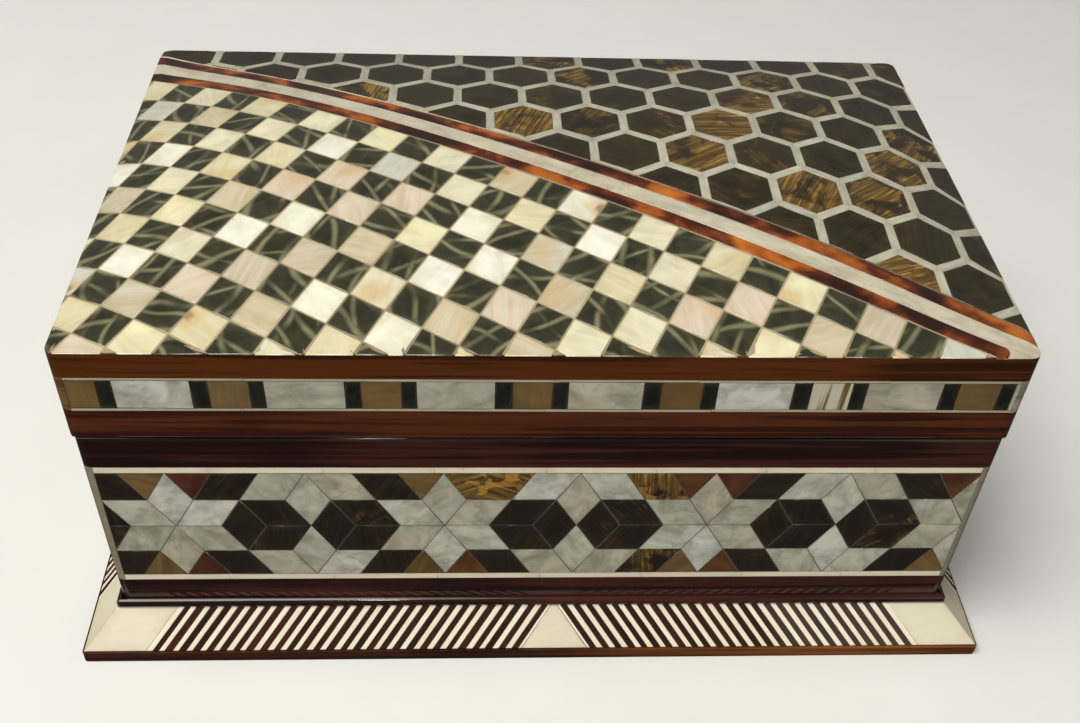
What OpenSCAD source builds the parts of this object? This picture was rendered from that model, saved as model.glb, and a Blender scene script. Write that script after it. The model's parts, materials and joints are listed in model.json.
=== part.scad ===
/* [Lid] */
// Width of the lid, left to right
lid_w = 210; // [150:1:300]
// Depth of the lid, front to back
lid_d = 129; // [100:1:200]
// Height of the lid's straight sides, up to the edge of the inlaid top
lid_side_h = 25.2; // [20:0.1:40]
// How far the cushion-shaped top rises above its edge
dome_rise = 8.8; // [3:0.1:16]
// How squarely the top falls off towards its left and right ends
dome_end_power = 5; // [3:0.5:6]
// How squarely the top falls off towards its front and back
dome_side_power = 2; // [2:0.1:3]
// Thickness of the lid's four side rails
lid_wall = 7; // [6:0.5:10]
// How far the top board reaches down inside the rails
plug_depth = 5; // [3:0.5:8]
// Rounding of the box's upright corners, in plan
corner_r = 2.5; // [1.3:0.1:5]
// Rounding of the lid's lower edge
lid_edge_r = 0.8; // [0.3:0.1:1.5]

/* [Body] */
// How far the body's walls stand in from the lid's, all round
body_inset = 0.5; // [0:0.1:2]
// Height of the body's walls above the base board
body_h = 67; // [55:0.5:100]
// Thickness of the body's four walls
body_wall = 7; // [6:0.5:10]
// Rounding of the rim, along the walls' outer top edge
rim_r = 1.4; // [0.5:0.1:2]
// Gap between the rim and the closed lid
lid_gap = 0.6; // [0.6:0.1:1.5]
// Thickness of the base board
base_t = 3.2; // [2.5:0.1:6]

/* [Plinth] */
// How far the plinth stands out beyond the lid, all round
plinth_out = 9; // [5:0.5:15]
// Height of the plinth's sloped face
slope_h = 8.5; // [6:0.5:14]
// Size of the bead along the top of the slope
bead_r = 1.3; // [0.8:0.1:2]
// Length of a plain bone corner piece along the foot of the slope
corner_piece_len = 15.3; // [8:0.1:25]
// Half the foot of the bone triangle in the middle of each side
triangle_half = 9.6; // [6:0.1:14]
// Sideways lean of the stripes between the foot and the top of the slope
stripe_lean = 9; // [3:0.5:12]
// Distance from one bone stripe to the next
stripe_pitch = 3.3; // [2:0.1:6]
// Width of a bone stripe
stripe_w = 1.5; // [0.8:0.1:1.8]
// How far right of centre the front triangle sits
triangle_shift = 4; // [-8:0.5:8]

/* [Body inlay] */
// Thickness of the veneers on the sides and the plinth
veneer_t = 0.6; // [0.4:0.1:1.2]
// Side of one rhombus of the mosaic
rhomb_side = 10.5; // [8:0.1:12]
// Height of the bone lines above and below the mosaic
bone_line_h = 2; // [1:0.1:3]
// Height of the plain border below the mosaic's lower bone line
lower_border_h = 17.4; // [14:0.1:20]
// Width of the bone strips that cover the upright corners
corner_line_w = 1.6; // [1:0.1:3]
// Seam between neighbouring pieces of mosaic
mosaic_seam = 0.3; // [0.1:0.05:0.6]
// How far the first star's centre is from the left end of the wall
first_star = 18; // [0:0.5:30]

/* [Lid side inlay] */
// Height of the wood strip below the inlaid band
lower_strip_h = 8.4; // [6:0.1:12]
// Height of the inlaid band between its pale lines
band_h = 8; // [5:0.1:9]
// Height of the thin pale lines above and below the band
pale_line_h = 0.8; // [0.4:0.1:1.5]
// Distance from the lid's left end to the first black bar
first_bar = 8.9; // [4:0.1:20]
// Width of a black bar
bar_w = 3.4; // [2:0.1:6]
// Width of a pearl panel
panel_w = 16.6; // [10:0.1:25]
// Width of the first brown block between two black bars
block_w = 8.3; // [5:0.1:15]
// How much wider each brown block is than the one before it
block_growth = 0.2; // [0:0.1:0.5]

/* [Lid top inlay] */
// Thickness of the pieces laid on the top
tile_t = 1; // [0.6:0.1:1.5]
// Thickness of the glue bed under them
glue_t = 0.3; // [0.2:0.05:0.5]
// Distance from the back corner down the left edge to the diagonal band's middle
band_start = 10.5; // [8:0.5:30]
// Distance from the front corner up the right edge to the diagonal band's middle
band_end = 1.4; // [0:0.1:10]
// Width of each tortoiseshell stripe of the diagonal band
shell_stripe_w = 3.6; // [2:0.1:6]
// Width of the pearl stripe of the diagonal band
pearl_stripe_w = 4.7; // [2:0.1:8]
// Width of the thin line along the band's back edge
string_w = 0.5; // [0.3:0.1:1]
// How far the front shell stripe stops short of the right edge
stripe_stop = 7.5; // [4:0.5:20]
// Side of one square of the chequered corner
square_side = 9; // [6:0.1:14]
// Where a line between squares crosses the band, from the lid's middle
square_shift = -4.9; // [-10:0.1:10]
// Seam between the squares
square_seam = 0.35; // [0.2:0.05:0.6]
// Distance between the flats of neighbouring hexagons' middles
hexagon_pitch = 16.85; // [12:0.05:24]
// Width of the pale lattice between the hexagons
lattice_w = 2.2; // [1:0.1:3]
// Distance from the lid's left end to the first hexagon's middle
hexagon_first = 24.7; // [10:0.1:30]
// Distance from the lid's back edge to the first row's middle
hexagon_row = 5.6; // [0:0.1:14]

/* [Hinges] */
// Length of a hinge
hinge_len = 25; // [18:1:40]
// Distance of each hinge's middle from the middle of the box
hinge_x = 62; // [30:1:70]
// Thickness of a hinge leaf
leaf_t = 0.8; // [0.6:0.1:0.9]
// How far a leaf reaches in over the wall
leaf_in = 5.2; // [4:0.1:5.5]
// Radius of the knuckles
knuckle_r = 1.5; // [1.2:0.1:2]
// Radius of the hinge pin
pin_r = 0.6; // [0.4:0.05:0.8]
// Radial clearance of the pin in the knuckles
pin_clearance = 0.04; // [0.02:0.01:0.08]
// Clearance between moving hinge parts
hinge_clearance = 0.3; // [0.3:0.05:0.4]
// Radius of a screw's shank
screw_r = 0.7; // [0.5:0.05:0.9]
// Radius of a screw's head
screw_head_r = 1.4; // [1.1:0.1:1.6]
// Length of a screw
screw_len = 5; // [4:0.5:8]

/* [Lining] */
// Thickness of the lining boards
lining_t = 1.4; // [1:0.1:3]
// How far the wall linings stay below the rim
lining_drop = 2; // [1:0.5:8]
// Gap between neighbouring lining boards
lining_gap = 0.3; // [0.1:0.05:1]

/* [Hidden] */
$fn = 96;
// A sliver by which a cutting shape passes the face it cuts
past = 1;
// Smallest piece of inlay worth laying, in square millimetres, and along a band
least_area = 1.5;
least_piece = 0.5;
// Areas below this are left over from cutting, not pieces
sliver = 0.05;
// Seams between pieces of inlay, and how low the lattice is rubbed down
slope_seam = 0.02;
band_seam = 0.05;
stripe_seam = 0.05;
lattice_sink = 0.1;
// Thickness of the top board's edge, and its plug's fit between the rails
edge_t = 0.5;
plug_fit = 0.1;
// Fits of the hinge leaves in their seats and of the screws, and a screw's slot
seat_fit = 0.1;
screw_fit = 0.02;
slot_w = 0.3;
slot_depth = 0.3;

lid_plan = [lid_w, lid_d];
body_plan = [lid_w - 2 * body_inset, lid_d - 2 * body_inset];
base_plan = [lid_w + 2 * plinth_out, lid_d + 2 * plinth_out];
rim_z = base_t + body_h;
lid_z = rim_z + lid_gap;
edge_z = lid_z + lid_side_h;
rail_top_z = edge_z - tile_t - glue_t - edge_t;

inner_plan = [body_plan.x - 2 * body_wall, body_plan.y - 2 * body_wall];
strip_w = max(corner_line_w, corner_r);

slope_top_z = base_t + slope_h;
slope_run = plinth_out + body_inset;
slope_len = norm([slope_run, slope_h]);
slope_angle = atan(slope_h / slope_run);
mosaic_z = base_t + lower_border_h + bone_line_h;
mosaic_rows = 4;
// A low body takes a smaller rhombus, so that a plain border stays above the mosaic
upper_border_least = 7;
mosaic_room = body_h - upper_border_least - lower_border_h - 2 * bone_line_h;
rhomb = min(rhomb_side, mosaic_room / (mosaic_rows * sin(60)));
row_h = rhomb * sin(60);
mosaic_h = mosaic_rows * row_h;
pocket_z = mosaic_z - bone_line_h;
pocket_h = mosaic_h + 2 * bone_line_h;

band_z = lid_z + lower_strip_h + pale_line_h;
lid_pocket_z = band_z - pale_line_h;
lid_pocket_h = band_h + 2 * pale_line_h;

band_angle = atan((lid_d - band_start - band_end) / lid_w);
along = [cos(band_angle), -sin(band_angle)];
across = [sin(band_angle), cos(band_angle)];
band_mid = [-lid_w / 2, lid_d / 2 - band_start] * across;
band_low = band_mid - shell_stripe_w - (pearl_stripe_w + string_w) / 2;
front_shell_v = [band_low, band_low + shell_stripe_w];
pearl_v = [front_shell_v[1] + stripe_seam, front_shell_v[1] + pearl_stripe_w];
back_shell_v = [pearl_v[1] + stripe_seam, pearl_v[1] + shell_stripe_w];
line_v = [back_shell_v[1] + stripe_seam, back_shell_v[1] + string_w];

gap_mid_z = rim_z + lid_gap / 2;
axis_y = lid_d / 2 + knuckle_r + hinge_clearance;
body_leaf_z = gap_mid_z - hinge_clearance / 2 - leaf_t;
lid_leaf_z = gap_mid_z + hinge_clearance / 2;
knuckle_len = (hinge_len - 2 * hinge_clearance) / 3;

wood_red = [0.36, 0.15, 0.07];
wood_dark = [0.17, 0.07, 0.05];
wood_orange = [0.45, 0.20, 0.07];
bone = [0.90, 0.87, 0.76];
pearl = [0.83, 0.83, 0.78];
horn_black = [0.10, 0.10, 0.09];
horn_brown = [0.45, 0.33, 0.16];
tortoise = [0.45, 0.13, 0.04];
brass = [0.80, 0.62, 0.30];
velvet = [0.42, 0.03, 0.06];

// ---- Flat shapes and their clipping ----

// Keeps the part of a convex outline on the near side of one line: normal * point <= limit
function keep_side(shape, normal, limit) = [
    for (i = [0 : 1 : len(shape) - 1])
        let (
            a = shape[i],
            b = shape[(i + 1) % len(shape)],
            over_a = normal * a - limit,
            over_b = normal * b - limit
        )
        each concat(
            over_a <= 0 ? [a] : [],
            over_a * over_b < 0 ? [a + (b - a) * over_a / (over_a - over_b)] : []
        )
];

// Keeps the part of a convex outline inside a whole list of [normal, limit] lines
function keep_inside(shape, lines, i = 0) =
    i == len(lines) || len(shape) < 3
        ? shape
        : keep_inside(keep_side(shape, lines[i][0], lines[i][1]), lines, i + 1);

// The lines along a counter-clockwise outline's edges, each moved in by a margin
function edge_lines(shape, margin = 0) = [
    for (i = [0 : len(shape) - 1])
        let (
            a = shape[i],
            b = shape[(i + 1) % len(shape)],
            out = [b.y - a.y, a.x - b.x] / norm(b - a)
        )
        [out, out * a - margin]
];

function shrink(shape, margin) = keep_inside(shape, edge_lines(shape, margin));

function area(shape) = len(shape) < 3 ? 0 : 0.5 * abs(sum_of([
    for (i = [0 : len(shape) - 1])
        cross(shape[i], shape[(i + 1) % len(shape)])
]));

function sum_of(values, i = 0) =
    i == len(values) - 1 ? values[i] : values[i] + sum_of(values, i + 1);

function worth_laying(shapes) = [for (shape = shapes) if (area(shape) > least_area) shape];

function plan_outline(plan, r, steps = 4) = [
    for (corner = [0 : 3], i = [0 : steps])
        let (
            turn = 90 * corner + 90 * i / steps,
            side = [corner == 0 || corner == 3 ? 1 : -1, corner < 2 ? 1 : -1]
        )
        [side.x * (plan.x / 2 - r), side.y * (plan.y / 2 - r)] + r * [cos(turn), sin(turn)]
];

module rounded_plan(plan, r) {
    square([plan.x - 2 * r, plan.y], center = true);
    square([plan.x, plan.y - 2 * r], center = true);
    for (x = [-1, 1], y = [-1, 1])
        translate([x * (plan.x / 2 - r), y * (plan.y / 2 - r)]) circle(r);
}

// ---- The four sides, numbered front 0, right 1, back 2, left 3 ----

function side_len(plan, side) = side % 2 == 0 ? plan.x : plan.y;
function side_out(plan, side) = (side % 2 == 0 ? plan.y : plan.x) / 2;

// Stands a flat drawing up on one side of a plan; its thickness points outwards
module on_side(plan, side, inset = 0) {
    rotate([0, 0, 90 * side])
        translate([0, inset - side_out(plan, side), 0])
            rotate([90, 0, 0]) children();
}

// The plan of one mitred rail of a frame with a given wall
module mitred_plan(plan, wall, side) {
    half = side_len(plan, side) / 2;
    out = side_out(plan, side);
    rotate([0, 0, 90 * side])
        polygon([[-half, -out], [half, -out], [half - wall, wall - out], [wall - half, wall - out]]);
}

// One mitred rail: its end profile swept along the side and cut to the mitres
module mitred_rail(plan, wall, side, r, low_z, high_z) {
    half = side_len(plan, side) / 2;
    intersection() {
        translate([0, 0, low_z])
            linear_extrude(high_z - low_z)
                intersection() {
                    rounded_plan(plan, r);
                    mitred_plan(plan, wall, side);
                }
        rotate([0, 0, 90 * side])
            translate([-half - past, -side_out(plan, side), 0])
                rotate([90, 0, 90])
                    linear_extrude(2 * (half + past)) children();
    }
}

// ---- Plinth ----

module base_board() {
    color(wood_orange)
        linear_extrude(base_t) rounded_plan(base_plan, 1);
}

// The sloped moulding on one side, without its veneer
module plinth_rail(side) {
    half = side_len(base_plan, side) / 2;
    run = slope_run - veneer_t / sin(slope_angle);
    color(wood_dark)
        intersection() {
            rotate([0, 0, 90 * side])
                translate([-half, slope_run - side_out(base_plan, side), base_t])
                    rotate([90, 0, 90])
                        linear_extrude(2 * half)
                            polygon([[0, 0], [-run, 0], [0, run * tan(slope_angle)]]);
            linear_extrude(slope_top_z) mitred_plan(base_plan, slope_run, side);
        }
}

// A bead in the corner between the slope's top and one wall
module bead_strip(side) {
    centre = [bead_r, slope_top_z];
    low_z = slope_top_z - bead_r * sin(slope_angle);
    color(wood_red)
        mitred_rail(
            [body_plan.x + 2 * bead_r, body_plan.y + 2 * bead_r], bead_r, side, bead_r,
            low_z, slope_top_z + bead_r
        )
            intersection() {
                translate(centre) circle(bead_r);
                translate(centre)
                    polygon(2 * bead_r * [[0, 0], [0, 1], [-1, 1], [-cos(slope_angle), -sin(slope_angle)]]);
            }
}

// Lays flat drawings on the sloped face: x along the side, y up the slope
module on_slope(side) {
    rotate([0, 0, 90 * side])
        translate([0, -side_out(base_plan, side), base_t])
            rotate([slope_angle, 0, 0])
                translate([0, 0, -veneer_t])
                    linear_extrude(veneer_t) children();
}

// The veneer stops where its square edges meet the base board and the wall
slope_ends = [
    [[0, -1], -veneer_t / tan(slope_angle) - slope_seam],
    [[0, 1], slope_len - veneer_t * tan(slope_angle) - slope_seam]
];

function slope_mid(side) = side == 0 ? triangle_shift : 0;

// A strip across the slope whose top leans towards the middle of the side
function leaning(low_x, high_x) = [
    [low_x, 0], [high_x, 0],
    [high_x - stripe_lean, slope_len], [low_x - stripe_lean, slope_len]
];

function flipped(shape, hand) =
    hand > 0 ? shape : [for (i = [len(shape) - 1 : -1 : 0]) [-shape[i].x, shape[i].y]];

// Stripes of one half of a side: hand is 1 for its right half, -1 for its left half.
// Each pitch holds a dark stripe, then a bone one; low and high are shares of the pitch.
function stripes(side, hand, low, high) =
    let (
        mid = hand * slope_mid(side),
        foot = mid + triangle_half,
        end = side_len(base_plan, side) / 2 - corner_piece_len,
        count = round((end - foot) / stripe_pitch),
        pitch = (end - foot) / count,
        limits = concat(slope_ends, [[[-1, 0], -mid - slope_seam]])
    )
    worth_laying([
        for (i = [0 : count - 1])
            let (strip = leaning(foot + (i + low) * pitch, foot + (i + high) * pitch))
            flipped(keep_inside(shrink(strip, slope_seam), limits), hand)
    ]);

module slope_stripes(low, high) {
    for (side = [0 : 3])
        on_slope(side)
            for (hand = [-1, 1], strip = stripes(side, hand, low, high)) polygon(strip);
}

module slope_triangles() {
    side_line = [slope_len, stripe_lean] / norm([slope_len, stripe_lean]);
    limit = side_line * [triangle_half, 0] - slope_seam;
    foot = [[-triangle_half, 0], [triangle_half, 0], [triangle_half, slope_len], [-triangle_half, slope_len]];
    for (side = [0 : 3])
        on_slope(side)
            translate([slope_mid(side), 0])
                polygon(keep_inside(foot, concat(
                    slope_ends, [[side_line, limit], [[-side_line.x, side_line.y], limit]]
                )));
}

module slope_corners() {
    for (side = [0 : 3])
        intersection() {
            on_slope(side)
                for (hand = [-1, 1]) {
                    half = side_len(base_plan, side) / 2;
                    shape = [
                        [half - corner_piece_len + slope_seam, 0], [half + past, 0], [half + past, slope_len],
                        [half - corner_piece_len - stripe_lean + slope_seam, slope_len]
                    ];
                    polygon(flipped(keep_inside(shape, slope_ends), hand));
                }
            linear_extrude(slope_top_z + past) mitred_plan(base_plan, slope_run + past, side);
        }
}

// ---- Body ----

// The end profile of a wall, outer face at 0, with its top or bottom outer edge rounded
module wall_profile(low_z, high_z, wall, r, top) {
    difference() {
        translate([0, low_z]) square([wall, high_z - low_z]);
        translate([0, top ? high_z : low_z])
            difference() {
                square(2 * r, center = true);
                translate([r, top ? -r : r]) circle(r);
            }
    }
}

// The plan of what lies under the veneer
module under_veneer(plan) {
    rounded_plan([plan.x - 2 * veneer_t, plan.y - 2 * veneer_t], corner_r - veneer_t);
}

// The shallow pocket cut all round a frame for its veneer
module veneer_pocket(plan, z, h) {
    translate([0, 0, z])
        linear_extrude(h)
            difference() {
                square([plan.x + past, plan.y + past], center = true);
                under_veneer(plan);
            }
}

module body_panel(side) {
    color(wood_dark)
        difference() {
            mitred_rail(body_plan, body_wall, side, corner_r, base_t, rim_z)
                wall_profile(base_t, rim_z, body_wall, rim_r, true);
            veneer_pocket(body_plan, pocket_z, pocket_h);
            if (side == 2) {
                hinge_seats(body_leaf_z);
                screw_holes(body_leaf_z - screw_len);
            }
        }
}

// The strips that cover the upright corners of a veneered pocket
module corner_strips(plan, z, h) {
    color(bone)
        translate([0, 0, z])
            linear_extrude(h)
                difference() {
                    intersection() {
                        rounded_plan(plan, corner_r);
                        for (x = [-1, 1], y = [-1, 1])
                            translate([x * plan.x, y * plan.y] / 2) square(2 * strip_w, center = true);
                    }
                    under_veneer(plan);
                }
}

// Half the length of a side between its corner strips
function inlay_half(plan, side) = side_len(plan, side) / 2 - strip_w - mosaic_seam;

// Lines that run along the four sides, between the corner strips
module side_lines(plan, starts, h, margin) {
    color(bone)
        for (side = [0 : 3], z = starts)
            on_side(plan, side, veneer_t)
                linear_extrude(veneer_t)
                    translate([-inlay_half(plan, side), z + margin])
                        square([2 * inlay_half(plan, side), h - 2 * margin]);
}

// Mosaic outlines about one star's centre, in units of a rhombus' side and a row
function star_pearl() = [
    [[0, 0], [0.5, 1], [0, 2], [-0.5, 1]],
    [[0, 0], [1, 0], [1.5, 1], [0.5, 1]],
    [[0, 0], [-0.5, 1], [-1.5, 1], [-1, 0]],
    [[3, 0], [3.5, 1], [3, 2], [2.5, 1]],
    [[1.5, 1], [2.5, 1], [3, 2], [2, 2]],
    [[-1.5, 1], [-2, 2], [-3, 2], [-2.5, 1]]
];
function star_dark() = concat(
    [for (x = [0.5, -1.5]) [[x, 1], [x + 1, 1], [x + 1.5, 2], [x + 0.5, 2]]],
    [[[1, 0], [2, 0], [2.5, 1], [1.5, 1]], [[-1, 0], [-1.5, 1], [-2.5, 1], [-2, 0]]]
);
function star_dark_halves() = [
    for (x = [2, -3])
        [[x, 0], [x + 0.5, -1], [x + 1, 0], [x + 0.5, 1]]
];
function star_brown() = [for (x = [0, -2]) [[x, 2], [x + 0.5, 1], [x + 1, 2]]];

// A flat outline turned upside down, still counter-clockwise
function upside_down(shape) = [for (i = [len(shape) - 1 : -1 : 0]) [shape[i].x, -shape[i].y]];
function both_ways(shapes) = concat(shapes, [for (shape = shapes) upside_down(shape)]);

// Repeats outlines for every star along one side, cut off at its corner strips
function along_side(side, shapes) =
    let (
        half = inlay_half(body_plan, side),
        start = first_star - side_len(body_plan, side) / 2,
        stars = ceil(2 * half / (6 * rhomb)) + 1,
        ends = [[[1, 0], half], [[-1, 0], half]]
    )
    worth_laying([
        for (star = [-1 : stars], shape = shapes)
            let (placed = [
                for (p = shape)
                    [start + (6 * star + p.x) * rhomb, mosaic_z + (2 + p.y) * row_h]
            ])
            keep_inside(shrink(placed, mosaic_seam / 2), ends)
    ]);

module mosaic(shapes) {
    for (side = [0 : 3])
        on_side(body_plan, side, veneer_t)
            linear_extrude(veneer_t)
                for (shape = along_side(side, shapes)) polygon(shape);
}

// ---- Lining ----

module lining_wall(side) {
    long = side_len(inner_plan, side) - 2 * (side % 2 == 0 ? lining_gap : lining_t + 2 * lining_gap);
    floor_z = base_t + lining_t + lining_gap;
    color(velvet)
        on_side(inner_plan, side, lining_t)
            translate([-long / 2, floor_z, 0])
                cube([long, rim_z - lining_drop - floor_z, lining_t]);
}

module lining_floor() {
    color(velvet)
        translate([0, 0, base_t + lining_t / 2])
            cube([inner_plan.x - 2 * lining_gap, inner_plan.y - 2 * lining_gap, lining_t], center = true);
}

module lid_lining() {
    plan = [lid_w - 2 * lid_wall, lid_d - 2 * lid_wall];
    color(velvet)
        translate([0, 0, rail_top_z - plug_depth - lining_t / 2])
            cube([plan.x - 2 * lining_gap, plan.y - 2 * lining_gap, lining_t], center = true);
}

// ---- Hinges ----

// Shallow seats for both hinges' leaves, one leaf thick and open towards the other leaf
module hinge_seats(z) {
    for (x = [-hinge_x, hinge_x])
        translate([x - hinge_len / 2 - seat_fit, body_plan.y / 2 - leaf_in - seat_fit, z])
            cube([hinge_len + 2 * seat_fit, leaf_in + seat_fit + past, leaf_t + past]);
}

// Puts something at each screw of one hinge, two to a leaf
module screw_places(x) {
    for (dx = [-1, 1])
        translate([x + dx * hinge_len / 3, body_plan.y / 2 - leaf_in / 2, 0]) children();
}

module screw_holes(z) {
    for (x = [-hinge_x, hinge_x])
        screw_places(x) translate([0, 0, z]) cylinder(r = screw_r + screw_fit, h = screw_len);
}

// Start of each of the hinge's three knuckles, from its left end
function knuckle_start(i) = i * (knuckle_len + hinge_clearance);

// One leaf with its knuckles; its screws' heads are on its top, or underneath if up is true
module hinge_leaf(x, z, knuckles, up) {
    flat_end = axis_y - knuckle_r - hinge_clearance;
    start_y = body_plan.y / 2 - leaf_in;
    color(brass)
        difference() {
            translate([x - hinge_len / 2, 0, 0]) {
                translate([0, start_y, z]) cube([hinge_len, flat_end - start_y, leaf_t]);
                for (i = knuckles)
                    translate([knuckle_start(i), 0, 0]) {
                        translate([0, start_y, z]) cube([knuckle_len, axis_y - start_y, leaf_t]);
                        translate([0, axis_y, gap_mid_z])
                            rotate([0, 90, 0]) cylinder(r = knuckle_r, h = knuckle_len);
                    }
            }
            translate([x - hinge_len / 2 - past, axis_y, gap_mid_z])
                rotate([0, 90, 0]) cylinder(r = pin_r + pin_clearance, h = hinge_len + 2 * past);
            screw_places(x)
                translate([0, 0, z + (up ? 0 : leaf_t)])
                    mirror([0, 0, up ? 1 : 0]) screw_shape(screw_fit, past);
        }
}

// A countersunk screw, its head's top at the origin, grown by a fit on every round face
module screw_shape(fit, over = 0) {
    head_h = leaf_t / 2;
    translate([0, 0, -head_h]) cylinder(r1 = screw_r + fit, r2 = screw_head_r + fit, h = head_h);
    translate([0, 0, -screw_len]) cylinder(r = screw_r + fit, h = screw_len - head_h);
    if (over > 0) cylinder(r = screw_head_r + fit, h = over);
}

module hinge_pin(x) {
    color(brass)
        translate([x - hinge_len / 2, axis_y, gap_mid_z])
            rotate([0, 90, 0]) cylinder(r = pin_r, h = hinge_len);
}

module slotted_screw() {
    difference() {
        screw_shape(0);
        cube([2 * screw_head_r + past, slot_w, 2 * slot_depth], center = true);
    }
}

module leaf_screws(z, up) {
    color(brass)
        for (x = [-hinge_x, hinge_x])
            screw_places(x)
                translate([0, 0, z]) mirror([0, 0, up ? 1 : 0]) slotted_screw();
}

// ---- Lid ----

module lid_rail(side) {
    color(wood_red)
        difference() {
            mitred_rail(lid_plan, lid_wall, side, corner_r, lid_z, rail_top_z)
                wall_profile(lid_z, rail_top_z, lid_wall, lid_edge_r, false);
            veneer_pocket(lid_plan, lid_pocket_z, lid_pocket_h);
            if (side == 2) {
                hinge_seats(lid_leaf_z - past);
                screw_holes(lid_leaf_z);
            }
        }
}

// Start of a numbered bar, counted in bar-panel-bar-block groups from the left end
function group_start(i) =
    first_bar + i * (2 * bar_w + panel_w + block_w) + block_growth * i * (i + 1) / 2;

function group_len(i) = group_start(i + 1) - group_start(i);

// Pieces of the lid's band that run from low to high within every group
module band_pieces(low, high) {
    for (side = [0 : 3])
        on_side(lid_plan, side, veneer_t)
            linear_extrude(veneer_t) {
                long = side_len(lid_plan, side);
                half = inlay_half(lid_plan, side);
                for (i = [-1 : ceil(long / group_len(0))]) {
                    start = group_start(i) - long / 2;
                    from = max(start + low + band_seam, -half);
                    to = min(start + min(high, group_len(i)) - band_seam, half);
                    if (to - from > least_piece)
                        translate([from, band_z + band_seam]) square([to - from, band_h - 2 * band_seam]);
                }
            }
}

// Height of the finished top above the lid's edge
function dome(p) =
    dome_rise
        * (1 - pow(min(abs(2 * p.x / lid_w), 1), dome_end_power))
        * (1 - pow(min(abs(2 * p.y / lid_d), 1), dome_side_power));

// A sheet over the whole top: rows of points closer together where the top bends most
function spread(i, n, half) = half * sin(90 * (2 * i / n - 1));

// Half the width of the rounded top at one place across its depth
function half_across(y) =
    lid_w / 2 - corner_r
        + sqrt(max(corner_r * corner_r - pow(max(abs(y) - lid_d / 2 + corner_r, 0), 2), 0));

// The board under the inlay, with the plug below it that fits between the rails
module lid_top_board() {
    nx = 26;
    ny = 16;
    plug_plan = [lid_w - 2 * (lid_wall + plug_fit), lid_d - 2 * (lid_wall + plug_fit)];
    rows = [for (j = [0 : ny]) spread(j, ny, lid_d / 2)];
    grid = [for (y = rows, i = [0 : nx]) [spread(i, nx, half_across(y)), y]];
    count = len(grid);
    function at(i, j) = j * (nx + 1) + i;
    rim = concat(
        [for (i = [0 : nx - 1]) at(i, 0)], [for (j = [0 : ny - 1]) at(nx, j)],
        [for (i = [nx : -1 : 1]) at(i, ny)], [for (j = [ny : -1 : 1]) at(0, j)]
    );
    around = len(rim);
    outer = [for (k = rim) [grid[k].x, grid[k].y, rail_top_z]];
    inner = [for (p = outer) [p.x * plug_plan.x / lid_w, p.y * plug_plan.y / lid_d, rail_top_z]];
    low = [for (p = inner) p - [0, 0, plug_depth]];
    // Ring of side faces between two loops of points, the upper loop first
    function ring(upper, lower) = [
        for (k = [0 : around - 1])
            let (next = (k + 1) % around)
            [upper[k], upper[next], lower[next], lower[k]]
    ];
    function loop(n) = [for (k = [0 : around - 1]) count + n * around + k];
    color(wood_dark)
        polyhedron(
            concat(
                [for (p = grid) [p.x, p.y, edge_z - tile_t - glue_t + dome(p)]],
                outer, inner, low, [[0, 0, rail_top_z - plug_depth]]
            ),
            concat(
                [for (i = [0 : nx - 1], j = [0 : ny - 1]) [at(i, j), at(i, j + 1), at(i + 1, j)]],
                [for (i = [0 : nx - 1], j = [0 : ny - 1]) [at(i + 1, j), at(i, j + 1), at(i + 1, j + 1)]],
                ring(rim, loop(0)), ring(loop(0), loop(1)), ring(loop(1), loop(2)),
                [
                    for (k = [0 : around - 1])
                        [count + 3 * around, loop(2)[k], loop(2)[(k + 1) % around]]
                ]
            )
        );
}

// A thin piece that follows the top, drawn as a convex outline in plan
module laid(shape, sink = 0) {
    n = len(shape);
    mid = sum_of(shape) / n;
    function lift(p, drop) = [p.x, p.y, edge_z + dome(p) - drop];
    polyhedron(
        concat(
            [for (p = shape) lift(p, sink)], [lift(mid, sink)],
            [for (p = shape) lift(p, tile_t)], [lift(mid, tile_t)]
        ),
        concat(
            [for (i = [0 : n - 1]) [n, (i + 1) % n, i]],
            [for (i = [0 : n - 1]) [2 * n + 1, n + 1 + i, n + 1 + (i + 1) % n]],
            [for (i = [0 : n - 1]) let (j = (i + 1) % n) [i, j, n + 1 + j, n + 1 + i]]
        )
    );
}

top_lines = edge_lines(plan_outline(lid_plan, corner_r), 0.02);

// A point from its places along and across the diagonal band
function slanted(u, v) = along * u + across * v;

// Squares on the front side of the band; kind 0 pearl, 1 black
function squares(kind) =
    let (
        reach = ceil(norm(lid_plan) / square_side),
        lines = concat(top_lines, [[across, band_low - square_seam]])
    )
    worth_laying([
        for (i = [-reach : reach], j = [0 : reach])
            if ((i + j + reach * 2) % 2 == kind)
                let (
                    u = square_shift + i * square_side,
                    v = band_low - (j + 1) * square_side,
                    shape = [slanted(u, v), slanted(u + square_side, v),
                        slanted(u + square_side, v + square_side), slanted(u, v + square_side)]
                )
                keep_inside(shrink(shape, square_seam / 2), lines)
    ]);

hexagon_rows = ceil(lid_d / (hexagon_pitch * sin(60))) + 1;
hexagon_columns = ceil(lid_w / hexagon_pitch) + 1;
honeycomb_lines = concat(top_lines, [[-across, -line_v[1] - stripe_seam]]);

// Middle of the hexagon in one column and row of the honeycomb
function hexagon_mid(column, row) = [
    hexagon_first - lid_w / 2 + (column + 0.5 * (row % 2)) * hexagon_pitch,
    lid_d / 2 - hexagon_row - row * hexagon_pitch * sin(60)
];
function hexagon(mid, flats) = [
    for (k = [0 : 5]) mid + flats / sqrt(3) * [cos(60 * k + 30), sin(60 * k + 30)]
];

function hexagons() = worth_laying([
    for (column = [-2 : hexagon_columns], row = [-1 : hexagon_rows])
        let (flats = hexagon_pitch - lattice_w - 2 * stripe_seam)
        keep_inside(hexagon(hexagon_mid(column, row), flats), honeycomb_lines)
]);

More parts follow.
